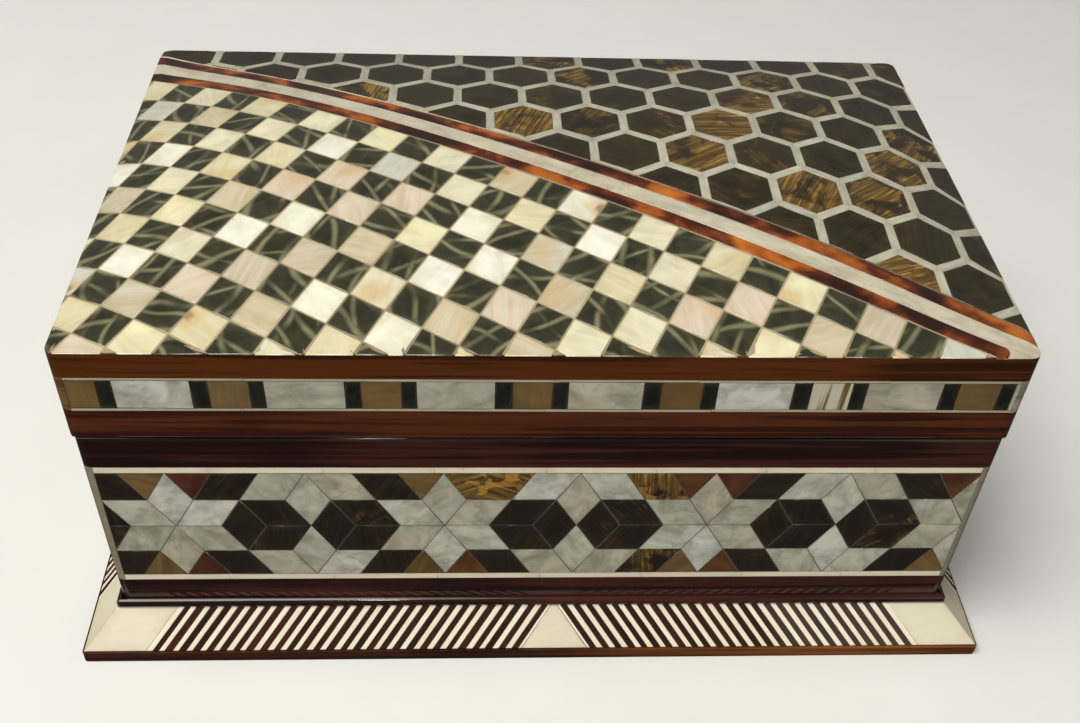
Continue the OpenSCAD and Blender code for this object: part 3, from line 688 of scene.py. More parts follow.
@dataclass(frozen=True)
class Finish:
    """A surface finish. Each kind says what colours it in paint(), and the rest is shared."""

    name: str
    slot: str
    shine: float = 0.08
    dulling: float = 0.10
    ripple: float = 0.5
    bump: float = 0.12
    coat: float = 0.8

    def material(self) -> bpy.types.Material:
        """The finish's material, made the first time it is asked for."""
        label = self.name + "_finish"
        made = bpy.data.materials.get(label)
        if made:
            return made
        made = bpy.data.materials.new(label)
        made.use_nodes = True
        tree = Tree(made.node_tree)
        made.node_tree.nodes.clear()
        shader = tree.add("ShaderNodeBsdfPrincipled")
        output = tree.add("ShaderNodeOutputMaterial")
        tree.join(shader.outputs[0], output.inputs["Surface"])
        self.paint(tree, shader)
        return made

    def paint(self, tree: Tree, shader: bpy.types.Node) -> None:
        """Fills in the shader."""
        raise NotImplementedError

    def spot(self, tree: Tree) -> bpy.types.NodeSocket:
        """Object coordinates, in metres."""
        return tree.add("ShaderNodeTexCoord").outputs["Object"]

    def grain(self, tree: Tree, layer: str = "Grain") -> bpy.types.NodeSocket:
        """A tile's own coordinates, in metres."""
        return tree.add("ShaderNodeUVMap", uv_map=layer).outputs[0]

    def value(self, tree: Tree, name: str) -> bpy.types.NodeSocket:
        """A number stored on the mesh."""
        return tree.add("ShaderNodeAttribute", attribute_name=name).outputs["Fac"]

    def fibres(
        self, tree: Tree, vector: object, along: float, across: float, warp: float, clouds: float
    ) -> bpy.types.Node:
        """The shared fibres, with this finish's own sizes."""
        node = tree.add("ShaderNodeGroup", node_tree=fibres_group())
        for key, value in (
            ("Vector", vector), ("Along", along), ("Across", across), ("Warp", warp), ("Cloud Scale", clouds)
        ):
            tree.join(value, node.inputs[key])
        return node

    def lacquer(self, tree: Tree, shader: bpy.types.Node, extra: object = None, level: float = 1.45) -> None:
        """Puts the shared lacquer on the shader, with an extra height of the finish's own under it."""
        node = tree.add("ShaderNodeGroup", node_tree=lacquer_group())
        for key, value in (
            ("Vector", self.spot(tree)),
            ("Shine", self.shine),
            ("Dulling", self.dulling),
            ("Ripple", self.ripple),
        ):
            tree.join(value, node.inputs[key])
        height = node.outputs["Height"]
        if extra is not None:
            height = tree.math("ADD", height, extra)
        bump = tree.add("ShaderNodeBump", {"Strength": self.bump, "Distance": 0.0006, "Height": height})
        tree.join(bump.outputs[0], shader.inputs["Normal"])
        tree.join(node.outputs["Roughness"], shader.inputs["Roughness"])
        tree.join(self.coat, shader.inputs["Coat Weight"])
        tree.join(0.04, shader.inputs["Coat Roughness"])
        tree.join(0.18, shader.inputs["Specular IOR Level"])
        tree.join(level, shader.inputs["IOR"])

    def grime_and_shade(self, tree: Tree, colour: object, dirt_and_shade: Colour, amount: float) -> bpy.types.NodeSocket:
        """A colour with grime gathered at the tile's edges, which also paints shade there where the grime
        colour is darker than the tile.
        """
        node = tree.add("ShaderNodeGroup", node_tree=edge_grime_and_shade_group())
        for key, value in (("Vector", self.spot(tree)), ("Rim", self.value(tree, "rim")), ("Amount", amount)):
            tree.join(value, node.inputs[key])
        return tree.mix(node.outputs["Grime"], colour, dirt_and_shade)


@dataclass(frozen=True)
class WoodFinish(Finish):
    """Lacquered wood, grain along x or y. A second tone can start above a height or fade in along x."""

    dark: Colour = (0.02, 0.008, 0.005)
    light: Colour = (0.09, 0.03, 0.015)
    upper_dark: Colour | None = None
    upper_light: Colour | None = None
    upper_from: float = 0.0
    fade_from: float | None = None
    fade_to: float = 0.0
    along_y: bool = False

    def paint(self, tree: Tree, shader: bpy.types.Node) -> None:
        """Growth rings as bent bands across the grain, with pores drawn out along it."""
        spot = self.spot(tree)
        stretch = (150.0, 4.0, 240.0) if self.along_y else (4.0, 150.0, 240.0)
        bent = tree.noise(tree.stretched(spot, (18.0, 18.0, 26.0)), 1.0, 2.0)
        rings = tree.noise(tree.stretched(spot, stretch), 1.0, 3.0, 0.55, 0.8)
        bands = tree.math("SINE", tree.times(tree.math("ADD", rings, tree.times(bent, 0.5)), 16.0))
        bands = tree.between(bands, -1.0, 1.0)
        long_pores = (900.0, 28.0, 1100.0) if self.along_y else (28.0, 900.0, 1100.0)
        pores = tree.between(tree.noise(tree.stretched(spot, long_pores), 1.0, 3.0, 0.6), 0.52, 0.72)
        tone = tree.times(bands, 0.45, tree.times(rings, 0.6))
        low = tree.mix(tree.between(tone, 0.2, 0.85), self.dark, self.light)
        colour = low
        if self.upper_light is not None:
            high = tree.mix(tree.between(tone, 0.2, 0.85), self.upper_dark, self.upper_light)
            parts = tree.add("ShaderNodeSeparateXYZ", {0: spot}).outputs
            if self.fade_from is not None:
                share = tree.between(tree.times(bent, 0.03, parts["X"]), self.fade_from, self.fade_to)
            else:
                share = tree.between(parts["Z"], self.upper_from - 0.0002, self.upper_from + 0.0002)
            colour = tree.mix(share, low, high)
        colour = tree.mix(tree.times(pores, 0.55), colour, tuple(0.25 * c for c in self.dark))
        tree.join(colour, shader.inputs["Base Color"])
        self.lacquer(tree, shader, tree.times(pores, -0.25))


@dataclass(frozen=True)
class PearlFinish(Finish):
    """Mother-of-pearl: pale clouded shell whose body colour differs from tile to tile."""

    tints: tuple[Colour, ...] = ((0.62, 0.60, 0.50),)
    cloud: Colour = (0.33, 0.33, 0.29)
    cloud_share: float = 0.35
    cloud_scale: float = 170.0
    along: float = 45.0
    across: float = 420.0
    stains: bool = False
    # The colour at the tiles' edges: dirt, and painted shade.
    dirt_and_shade: Colour = (0.16, 0.13, 0.08)
    veins: float = 0.0

    def paint(self, tree: Tree, shader: bpy.types.Node) -> None:
        """A tint for each tile, clouds and growth lines, veins in grey shell, stains in some tiles."""
        grain = self.grain(tree)
        count = len(self.tints)
        tint = tree.ramp(
            self.value(tree, "tint"), [(i / count, c) for i, c in enumerate(self.tints)], steps=True
        )
        fibre = self.fibres(tree, grain, self.along, self.across, 0.9, self.cloud_scale)
        share = tree.times(fibre.outputs["Clouds"], self.cloud_share)
        colour = tree.mix(share, tint, self.cloud)
        lines = tree.times(fibre.outputs["Fibres"], 0.30)
        colour = tree.mix(lines, colour, tree.mix(0.5, tint, (0.95, 0.93, 0.86)))
        sheen = tree.noise(tree.stretched(grain, (60.0, 220.0, 1.0)), 1.0, 2.0, 0.5, 1.5)
        hues = tree.ramp(
            sheen,
            [
                (0.30, (0.80, 0.62, 0.60)),
                (0.45, (0.78, 0.80, 0.70)),
                (0.58, (0.62, 0.76, 0.80)),
                (0.72, (0.86, 0.80, 0.60)),
            ],
        )
        colour = tree.mix(0.22, colour, tree.mix(1.0, colour, hues, "SOFT_LIGHT"))
        if self.veins > 0:
            drawn = tree.stretched(grain, (110.0, 200.0, 1.0))
            shake = tree.add(
                "ShaderNodeTexNoise", {"Vector": grain, "Scale": 260.0, "Detail": 3.0}
            ).outputs["Color"]
            cells = {"Vector": tree.vector("ADD", drawn, shake).outputs[0], "Scale": 1.0}
            warped = tree.add("ShaderNodeTexVoronoi", cells, feature="DISTANCE_TO_EDGE")
            vein = tree.between(warped.outputs["Distance"], 0.0, 0.11, 1.0, 0.0)
            faint = tree.times(vein, tree.between(tree.noise(grain, 140.0, 2.0), 0.42, 0.68))
            colour = tree.mix(tree.times(faint, self.veins), colour, (0.13, 0.125, 0.10))
        if self.stains:
            middle = self.grain(tree, "Middle")
            wander = tree.add(
                "ShaderNodeTexNoise", {"Vector": grain, "Scale": 16.0, "Detail": 0.0}
            ).outputs["Color"]
            moved = tree.vector("MULTIPLY_ADD", wander, (0.022, 0.022, 0.0), (-0.011, -0.011, 0.0))
            centre = tree.vector("ADD", middle, moved.outputs[0]).outputs[0]
            far = tree.vector("LENGTH", centre).outputs["Value"]
            ragged = tree.times(tree.noise(grain, 280.0, 3.0), 0.0040, far)
            glow = self.value(tree, "glow")
            spot = tree.times(tree.between(ragged, 0.0026, 0.0038, 1.0, 0.0), tree.between(glow, 0.5, 0.7))
            halo = tree.times(tree.between(ragged, 0.0030, 0.0080, 1.0, 0.0), tree.between(glow, 0.05, 0.3))
            colour = tree.mix(tree.times(halo, 0.5), colour, (0.50, 0.31, 0.10))
            stain = tree.mix(fibre.outputs["Fibres"], (0.30, 0.17, 0.07), (0.20, 0.14, 0.08))
            colour = tree.mix(tree.times(spot, 0.8), colour, stain)
        tree.join(self.grime_and_shade(tree, colour, self.dirt_and_shade, 0.55), shader.inputs["Base Color"])
        self.lacquer(tree, shader, tree.times(fibre.outputs["Fibres"], 0.05), 1.53)


@dataclass(frozen=True)
class StreakedShellFinish(Finish):
    """Dark grey-green shell crossed by a few pale branching streaks."""

    dark: Colour = (0.017, 0.018, 0.009)
    middle: Colour = (0.036, 0.036, 0.020)
    streak: Colour = (0.25, 0.24, 0.135)

    def paint(self, tree: Tree, shader: bpy.types.Node) -> None:
        """Two sets of bent lines, each where a warped distance over its spacing folds back on itself."""
        grain = self.grain(tree)
        parts = tree.add("ShaderNodeSeparateXYZ", {0: grain}).outputs
        warp = tree.noise(grain, 48.0, 1.0)
        swell = tree.noise(tree.stretched(grain, (90.0, 150.0, 1.0)), 1.0, 1.0)
        first = tree.times(parts["Y"], 1 / 0.0056, tree.times(warp, 1.7))
        slant = tree.times(parts["X"], 1 / 0.0092, tree.times(parts["Y"], 1 / 0.0098))
        second = tree.times(warp, -1.5, slant)
        line_a = tree.between(tree.math("PINGPONG", first, 0.5), 0.0, 0.19, 1.0, 0.0)
        line_b = tree.between(tree.math("PINGPONG", second, 0.5), 0.0, 0.13, 1.0, 0.0)
        line_a = tree.times(line_a, tree.between(swell, 0.36, 0.58, 0.12, 1.0))
        line_b = tree.times(line_b, tree.between(swell, 0.42, 0.62, 1.0, 0.1))
        line = tree.math("MAXIMUM", line_a, line_b)
        fibre = self.fibres(tree, grain, 60.0, 500.0, 0.6, 200.0)
        base = tree.mix(fibre.outputs["Clouds"], self.dark, self.middle)
        strength = tree.times(line, tree.times(fibre.outputs["Clouds"], 0.3, 0.5))
        colour = tree.mix(strength, base, self.streak)
        tree.join(self.grime_and_shade(tree, colour, (0.20, 0.17, 0.10), 0.4), shader.inputs["Base Color"])
        self.lacquer(tree, shader, tree.times(line, 0.03))


@dataclass(frozen=True)
class GlowingShellFinish(Finish):
    """Near-black brown shell with fibres that catch the light as gold in some tiles."""

    dark: Colour = (0.010, 0.008, 0.004)
    middle: Colour = (0.026, 0.019, 0.008)
    gold: Colour = (0.46, 0.29, 0.055)
    patches: float = 0.0

    def paint(self, tree: Tree, shader: bpy.types.Node) -> None:
        """Gold shows in bundles of fibres, as far as each tile glows."""
        grain = self.grain(tree)
        fibre = self.fibres(tree, grain, 70.0, 760.0, 1.1, 150.0)
        fine = tree.between(
            tree.noise(tree.stretched(grain, (45.0, 1500.0, 1.0)), 1.0, 3.0, 0.6, 0.4), 0.4, 0.66
        )
        glow = self.value(tree, "glow")
        tint = self.value(tree, "tint")
        warm = tree.mix(tint, self.dark, self.middle)
        base = tree.mix(fibre.outputs["Clouds"], warm, self.middle)
        base = tree.mix(tree.times(fine, 0.22), base, (0.07, 0.042, 0.016))
        bundles = tree.between(tree.math("ADD", fibre.outputs["Clouds"], glow), 0.75, 1.35)
        strands = tree.times(tree.times(fibre.outputs["Fibres"], fine), 0.8, 0.15)
        share = tree.times(bundles, strands)
        if self.patches > 0:
            blot = tree.between(tree.noise(grain, 175.0, 2.0, 0.5, 0.7), 0.54, 0.585)
            share = tree.math(
                "MAXIMUM", share, tree.times(blot, tree.times(tree.between(glow, 0.5, 0.9), self.patches))
            )
        share = tree.times(share, tree.between(glow, 0.02, 0.5, 0.12, 1.0))
        gold = tree.mix(fibre.outputs["Fibres"], (0.30, 0.13, 0.025), self.gold)
        colour = tree.mix(share, base, gold)
        tree.join(self.grime_and_shade(tree, colour, (0.14, 0.12, 0.09), 0.3), shader.inputs["Base Color"])
        self.lacquer(tree, shader, tree.times(fine, 0.04))


@dataclass(frozen=True)
class TortoiseFinish(Finish):
    """Tortoiseshell: dark red-brown with soft amber windows."""

    dark: Colour = (0.022, 0.005, 0.002)
    red: Colour = (0.085, 0.016, 0.004)
    amber: Colour = (0.30, 0.075, 0.008)

    def paint(self, tree: Tree, shader: bpy.types.Node) -> None:
        """Windows of amber open where slow noise along the strip is high."""
        grain = self.grain(tree)
        slow = tree.noise(tree.stretched(grain, (48.0, 75.0, 1.0)), 1.0, 2.0, 0.5, 0.4)
        quick = tree.noise(tree.stretched(grain, (170.0, 260.0, 1.0)), 1.0, 2.0, 0.5, 0.3)
        share = tree.times(quick, 0.35, tree.times(slow, 0.75))
        colour = tree.ramp(
            share, [(0.48, self.dark), (0.56, self.red), (0.65, self.amber), (0.76, (0.45, 0.14, 0.015))]
        )
        tree.join(self.grime_and_shade(tree, colour, (0.03, 0.01, 0.006), 0.5), shader.inputs["Base Color"])
        self.lacquer(tree, shader)


@dataclass(frozen=True)
class HornFinish(Finish):
    """Translucent horn with streaks, its colour differing from piece to piece."""

    tints: tuple[Colour, ...] = ((0.16, 0.085, 0.03),)
    streak: Colour = (0.03, 0.013, 0.006)
    clouding: float = 0.2

    def paint(self, tree: Tree, shader: bpy.types.Node) -> None:
        """Dark streaks along the grain over each piece's own tint; glow turns a piece pale and banded."""
        grain = self.grain(tree)
        count = len(self.tints)
        tint = tree.ramp(
            self.value(tree, "tint"), [(i / count, c) for i, c in enumerate(self.tints)], steps=True
        )
        fibre = self.fibres(tree, grain, 50.0, 360.0, 0.8, 120.0)
        colour = tree.mix(tree.times(fibre.outputs["Fibres"], 0.55), tint, self.streak)
        colour = tree.mix(
            tree.times(fibre.outputs["Clouds"], self.clouding),
            colour,
            tree.mix(0.5, tint, (0.40, 0.24, 0.08)),
        )
        bands = tree.between(tree.noise(tree.stretched(grain, (20.0, 620.0, 1.0)), 1.0, 2.0), 0.42, 0.52)
        pale = tree.times(bands, tree.between(self.value(tree, "glow"), 0.5, 0.9))
        colour = tree.mix(pale, colour, (0.52, 0.49, 0.38))
        tree.join(self.grime_and_shade(tree, colour, (0.03, 0.016, 0.008), 0.4), shader.inputs["Base Color"])
        self.lacquer(tree, shader)


@dataclass(frozen=True)
class BoneFinish(Finish):
    """Polished bone: warm white with faint growth lines and yellowed patches."""

    pale: Colour = (0.82, 0.76, 0.63)
    yellowed: Colour = (0.62, 0.51, 0.33)
    tiles: bool = True

    def paint(self, tree: Tree, shader: bpy.types.Node) -> None:
        """Fine lines along the grain, yellowing in clouds, and grime with painted shade at the edges of
        tiles.
        """
        vector = self.grain(tree) if self.tiles else self.spot(tree)
        fibre = self.fibres(tree, vector, 60.0, 900.0, 0.5, 60.0)
        colour = tree.mix(tree.times(fibre.outputs["Clouds"], 0.30), self.pale, self.yellowed)
        colour = tree.mix(tree.times(fibre.outputs["Fibres"], 0.18), colour, (0.50, 0.42, 0.27))
        if self.tiles:
            colour = self.grime_and_shade(tree, colour, (0.20, 0.10, 0.04), 0.55)
        tree.join(colour, shader.inputs["Base Color"])
        self.lacquer(tree, shader, tree.times(fibre.outputs["Fibres"], 0.06), 1.54)


@dataclass(frozen=True)
class FillerFinish(Finish):
    """The filler that shows in the seams between tiles."""

    pale: Colour = (0.40, 0.34, 0.21)
    dark: Colour = (0.17, 0.13, 0.08)

    def paint(self, tree: Tree, shader: bpy.types.Node) -> None:
        """A gritty mix of two tones."""
        spot = self.spot(tree)
        grit = tree.noise(spot, 900.0, 3.0, 0.6)
        slow = tree.between(tree.noise(spot, 55.0, 2.0), 0.35, 0.7)
        share = tree.times(grit, 0.4, tree.times(slow, 0.6))
        tree.join(tree.mix(share, self.pale, self.dark), shader.inputs["Base Color"])
        self.lacquer(tree, shader, tree.times(grit, 0.2))


@dataclass(frozen=True)
class VelvetFinish(Finish):
    """Cotton velvet with a short pile, brushed unevenly."""

    deep: Colour = (0.10, 0.004, 0.010)
    bright: Colour = (0.34, 0.016, 0.036)

    def paint(self, tree: Tree, shader: bpy.types.Node) -> None:
        """Pile as very fine noise, with brushed patches lighter and darker."""
        spot = self.spot(tree)
        pile = tree.noise(spot, 5200.0, 2.0, 0.6)
        brushed = tree.between(tree.noise(spot, 60.0, 3.0, 0.5, 1.2), 0.35, 0.68)
        rows = tree.noise(tree.stretched(spot, (2600.0, 700.0, 2600.0)), 1.0, 2.0)
        share = tree.times(brushed, 0.55, tree.times(pile, 0.45))
        tree.join(tree.mix(share, self.deep, self.bright), shader.inputs["Base Color"])
        tree.join(tree.between(pile, 0.3, 0.7, 0.85, 1.0), shader.inputs["Roughness"])
        height = tree.math("ADD", pile, tree.times(rows, 0.6))
        bump = tree.add("ShaderNodeBump", {"Strength": 0.7, "Distance": 0.0003, "Height": height})
        tree.join(bump.outputs[0], shader.inputs["Normal"])
        tree.join(0.75, shader.inputs["Sheen Weight"])
        tree.join(0.35, shader.inputs["Sheen Roughness"])
        tree.join((0.85, 0.30, 0.34), shader.inputs["Sheen Tint"])


@dataclass(frozen=True)
class BrassFinish(Finish):
    """Yellow brass, rubbed bright on top and tarnished in patches."""

    bright: Colour = (0.80, 0.56, 0.24)
    tarnish: Colour = (0.22, 0.13, 0.05)

    def paint(self, tree: Tree, shader: bpy.types.Node) -> None:
        """Tarnish in clouds, and drawing lines along the leaf."""
        spot = self.spot(tree)
        clouds = tree.between(tree.noise(spot, 190.0, 4.0, 0.6), 0.42, 0.72)
        lines = tree.noise(tree.stretched(spot, (90.0, 2600.0, 2600.0)), 1.0, 2.0)
        tree.join(tree.mix(tree.times(clouds, 0.7), self.bright, self.tarnish), shader.inputs["Base Color"])
        tree.join(1.0, shader.inputs["Metallic"])
        rough = tree.times(clouds, 0.3, tree.times(lines, 0.18, 0.14))
        tree.join(rough, shader.inputs["Roughness"])
        bump = tree.add("ShaderNodeBump", {"Strength": 0.25, "Distance": 0.0001, "Height": lines})
        tree.join(bump.outputs[0], shader.inputs["Normal"])


@dataclass(frozen=True)
class Finishes:
    """Every finish on the box, by what it is used for."""

    chequer_pearl: Finish = PearlFinish(
        "chequer_pearl", "pearl",
        tints=(
            (0.56, 0.5, 0.3), (0.64, 0.61, 0.42), (0.47, 0.39, 0.25), (0.7, 0.69, 0.57), (0.55, 0.44, 0.34),
            (0.45, 0.45, 0.4), (0.66, 0.62, 0.38), (0.43, 0.37, 0.27), (0.6, 0.56, 0.4), (0.72, 0.71, 0.62),
        ),
        cloud=(0.32, 0.26, 0.15), cloud_share=0.42, cloud_scale=120.0, stains=True, dirt_and_shade=(0.27, 0.21, 0.11),
    )
    streaked_shell: Finish = StreakedShellFinish("streaked_shell", "black_shell")
    honeycomb_shell: Finish = GlowingShellFinish("honeycomb_shell", "brown_shell", coat=0.55)
    lattice: Finish = PearlFinish(
        "lattice_shell", "pearl", tints=((0.36, 0.33, 0.25), (0.40, 0.37, 0.28), (0.33, 0.31, 0.24)),
        cloud=(0.20, 0.19, 0.15), cloud_share=0.5, along=150.0, across=900.0, dirt_and_shade=(0.10, 0.08, 0.05),
    )
    band_pearl: Finish = PearlFinish(
        "band_pearl", "pearl", tints=((0.44, 0.39, 0.29),), cloud=(0.22, 0.18, 0.12), cloud_share=0.45,
        cloud_scale=90.0, along=90.0, across=300.0, veins=0.25,
    )
    tortoiseshell: Finish = TortoiseFinish("tortoiseshell", "tortoiseshell")
    grey_pearl: Finish = PearlFinish(
        "grey_pearl", "pearl",
        tints=(
            (0.42, 0.41, 0.33),
            (0.48, 0.48, 0.40),
            (0.35, 0.345, 0.27),
            (0.54, 0.545, 0.48),
            (0.40, 0.36, 0.27),
        ),
        cloud=(0.125, 0.12, 0.09), cloud_share=0.66, cloud_scale=150.0, along=80.0, across=240.0, veins=0.35,
        dirt_and_shade=(0.12, 0.11, 0.08),
    )
    mosaic_shell: Finish = GlowingShellFinish(
        "mosaic_shell", "brown_shell", dark=(0.006, 0.005, 0.005), middle=(0.016, 0.011, 0.008), patches=0.9,
    )
    black_bar: Finish = StreakedShellFinish(
        "black_bar", "black_shell", dark=(
            0.007, 0.008, 0.006
        ), middle=(0.012, 0.014, 0.010), streak=(0.016, 0.018, 0.014),
    )
    horn: Finish = HornFinish(
        "mosaic_horn", "brown_horn",
        tints=(
            (0.14, 0.078, 0.026),
            (0.075, 0.026, 0.010),
            (0.060, 0.012, 0.009),
            (0.17, 0.105, 0.040),
            (0.10, 0.040, 0.012),
        ),
    )
    band_horn: Finish = HornFinish(
        "band_horn", "brown_horn", tints=((0.15, 0.095, 0.036), (0.12, 0.070, 0.026), (0.17, 0.115, 0.050)),
        streak=(0.08, 0.045, 0.018),
    )
    bone: Finish = BoneFinish("bone", "bone")
    corner_bone: Finish = BoneFinish(
        "corner_bone", "bone", pale=(0.70, 0.66, 0.52), yellowed=(0.54, 0.45, 0.28)
    )
    worn_bone: Finish = WoodFinish(
        "worn_bone", "bone", dark=(0.45, 0.38, 0.24), light=(0.66, 0.60, 0.42), upper_dark=(0.10, 0.07, 0.04),
        upper_light=(0.20, 0.15, 0.09), fade_from=-0.03, fade_to=0.03,
    )
    strip_bone: Finish = BoneFinish(
        "strip_bone", "bone", pale=(0.42, 0.39, 0.30), yellowed=(0.30, 0.25, 0.16)
    )
    stripe_dark: Finish = HornFinish(
        "stripe_dark", "dark_wood", tints=(
            (0.030, 0.007, 0.004), (0.042, 0.010, 0.005), (0.022, 0.006, 0.004)
        ),
        streak=(0.010, 0.003, 0.002), clouding=0.03,
    )
    filler: Finish = FillerFinish("seam_filler", "pearl")
    grey_filler: Finish = FillerFinish(
        "grey_seam_filler", "pearl", pale=(0.15, 0.13, 0.09), dark=(0.07, 0.06, 0.045)
    )
    dark_filler: Finish = FillerFinish(
        "dark_seam_filler", "dark_wood", pale=(0.05, 0.02, 0.012), dark=(0.02, 0.008, 0.006)
    )
    velvet: Finish = VelvetFinish("velvet", "velvet")
    brass: Finish = BrassFinish("brass", "brass")


FINISHES = Finishes()


# ---------------------------------------------------------------- the box's places


@dataclass(frozen=True)
class Places:
    """The box's main places, from the CAD frame, in metres."""

    lid_w: float
    lid_d: float
    lid_z: float
    rail_top_z: float
    edge_z: float
    top_z: float
    base_w: float
    base_d: float
    base_t: float
    body_w: float
    body_d: float
    strips_meet: float = 0.014

    @staticmethod
    def from_frame() -> "Places":
        """Reads them off the CAD nodes' boxes."""
        front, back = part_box("lid_front_rail"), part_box("lid_back_rail")
        wall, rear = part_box("front_panel"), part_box("back_panel")
        lid_right, lid_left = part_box("lid_right_rail"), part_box("lid_left_rail")
        right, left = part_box("right_panel"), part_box("left_panel")
        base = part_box("base_board")
        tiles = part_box("chequer_black_squares")
        top = CAD_BOX[1][2]
        return Places(
            lid_w=lid_right[1].x - lid_left[0].x,
            lid_d=back[1].y - front[0].y,
            lid_z=front[0].z,
            rail_top_z=front[1].z,
            edge_z=round(tiles[0].z, 4) + 0.001,
            top_z=top,
            base_w=base[1].x - base[0].x,
            base_d=base[1].y - base[0].y,
            base_t=base[1].z,
            body_w=right[1].x - left[0].x,
            body_d=rear[1].y - wall[0].y,
        )


# ---------------------------------------------------------------- the lid's top


@dataclass
class LidTopInlay:
    """The chequered corner, the honeycomb and the diagonal band between them."""

    places: Places
    rng: np.random.Generator
    band_start: float = 0.0105
    band_end: float = 0.0014
    shell_stripe: float = 0.0036
    pearl_stripe: float = 0.0047
    string: float = 0.0005
    stripe_stop: float = 0.0075
    gap: float = 0.00005
    square: float = 0.009
    square_shift: float = -0.0049
    square_seam: float = 0.00035
    pitch: float = 0.01685
    lattice: float = 0.0022
    first: float = 0.0247
    row: float = 0.0056
    corner_r: float = CORNER_R
    plan_margin: float = 0.00002
    bed_margin: float = 0.00025
    least_bed: float = 0.3e-6
    least_bar: float = 0.05e-6
    glows: dict = field(
        default_factory=lambda: {
            (3, 4): (0.85, 70), (3, 7): (1.0, 2), (2, 2): (0.6, 80), (2, 8): (0.5, 8), (1, 5): (0.45, 40),
            (0, 7): (0.55, 115), (0, 5): (0.35, 60), (1, 8): (0.5, 50),
            (4, 7): (0.65, 35), (4, 10): (0.6, 45),
            (5, 8): (0.75, 60), (5, 9): (0.6, 40), (7, 9): (0.95, 20), (3, 10): (0.5, 60), (3, 5): (0.3, 55),
            (0, 10): (0.25, 20), (2, 9): (0.3, 50),
        }
    )

    def __post_init__(self) -> None:
        """Works out the band's directions and where each stripe runs."""
        p = self.places
        angle = math.atan((p.lid_d - self.band_start - self.band_end) / p.lid_w)
        self.along = np.array([math.cos(angle), -math.sin(angle)])
        self.across = np.array([math.sin(angle), math.cos(angle)])
        middle = float(np.array([-p.lid_w / 2, p.lid_d / 2 - self.band_start]) @ self.across)
        low = middle - self.shell_stripe - (self.pearl_stripe + self.string) / 2
        self.front_shell = (low, low + self.shell_stripe)
        self.pearl = (self.front_shell[1] + self.gap, self.front_shell[1] + self.pearl_stripe)
        self.back_shell = (self.pearl[1] + self.gap, self.pearl[1] + self.shell_stripe)
        self.line = (self.back_shell[1] + self.gap, self.back_shell[1] + self.string)
        self.top = CushionTop(p.lid_w, p.lid_d, p.edge_z, p.top_z - p.edge_z, corner_r=self.corner_r)
        self.plan_lines = edge_lines(rounded_plan(p.lid_w, p.lid_d, self.corner_r), self.plan_margin)

    def slanted(self, u: Array, v: Array) -> Array:
        """Places from their distances along and across the band."""
        return np.asarray(u)[..., None] * self.along + np.asarray(v)[..., None] * self.across

    def squares(self) -> tuple[list[Tile], list[Tile], list[Tile]]:
        """Pearl squares, shell squares and the filler cells under both."""
        p = self.places
        reach = math.ceil(math.hypot(p.lid_w, p.lid_d) / self.square)
        under = [(self.across, self.front_shell[0] - self.square_seam)]
        bed = edge_lines(rounded_plan(p.lid_w, p.lid_d, self.corner_r), self.bed_margin)
        bed.append((self.across, self.front_shell[0]))
        pearl, shell, filler = [], [], []
        corner = np.array([[0, 0], [1, 0], [1, 1], [0, 1]]) * self.square
        for i in range(-reach, reach + 1):
            for j in range(reach + 1):
                u = self.square_shift + i * self.square + corner[:, 0]
                v = self.front_shell[0] - (j + 1) * self.square + corner[:, 1]
                cell = self.slanted(u, v)
                if area_of(clipped_all(cell, self.plan_lines + under)) < self.least_bed:
                    continue
                filler.append(Tile(clipped_all(cell, bed)))
                shape = clipped_all(shrunk(cell, self.square_seam / 2), self.plan_lines + under)
                if area_of(shape) < LEAST_TILE:
                    continue
                if (i + j) % 2 == 0:
                    stain = float(self.rng.random() < 0.22)
                    grain, tint = self.rng.uniform(0, math.pi), self.rng.random()
                    pearl.append(Tile(shape, grain, tint, stain * self.rng.uniform(0.1, 1)))
                else:
                    grain = self.rng.choice([0.35, 1.05, 2.2, 2.8]) + self.rng.normal(0, 0.2)
                    shell.append(Tile(shape, grain, self.rng.random()))
        filler = [tile for tile in filler if area_of(tile.outline) > self.least_bed]
        return pearl, shell, filler

    def hexagon(self, middle: Array, flats: float) -> Array:
        """A pointed-top hexagon: middle + flats / sqrt(3) * (cos, sin) of 30, 90, 150... degrees."""
        turn = np.radians(60 * np.arange(6) + 30)
        return middle + flats / math.sqrt(3) * np.stack([np.cos(turn), np.sin(turn)], axis=1)

    def honeycomb(self) -> tuple[list[Tile], list[Tile]]:
        """Shell hexagons, and the bars of the lattice between them."""
        p = self.places
        lines = self.plan_lines + [(-self.across, -self.line[1] - self.gap)]
        shell, bars = [], []
        columns = math.ceil(p.lid_w / self.pitch) + 1
        row_step = self.pitch * math.sin(math.pi / 3)
        rows = math.ceil(p.lid_d / row_step) + 1
        for column in range(-2, columns + 1):
            for row in range(-1, rows + 1):
                middle = np.array([
                    self.first - p.lid_w / 2 + (column + 0.5 * (row % 2)) * self.pitch,
                    p.lid_d / 2 - self.row - row * row_step,
                ])
                shape = clipped_all(self.hexagon(middle, self.pitch - self.lattice - 2 * self.gap), lines)
                faint = max(0.0, float(self.rng.normal(0.02, 0.10)))
                glow, turn = self.glows.get((row, column), (faint, float(self.rng.uniform(0, 180))))
                tile = Tile(shape, math.radians(turn), float(self.rng.random()) ** 2, glow)
                if area_of(shape) > LEAST_TILE:
                    shell.append(tile)
                outer, inner = self.hexagon(middle, self.pitch), self.hexagon(
                    middle, self.pitch - self.lattice
                )
                for k in range(3):
                    turn = math.radians(60 * k + 60)
                    step = self.pitch * np.array([math.cos(turn), math.sin(turn)])
                    bar = np.array([
                        outer[k], step + inner[(k + 4) % 6], step + inner[(k + 3) % 6],
                        outer[k + 1], inner[k + 1], inner[k],
                    ])
                    cut = clipped_all(bar, lines)
                    if area_of(cut) > self.least_bar:
                        bars.append(Tile(cut, turn + math.pi / 2, float(self.rng.random())))
        return shell, bars

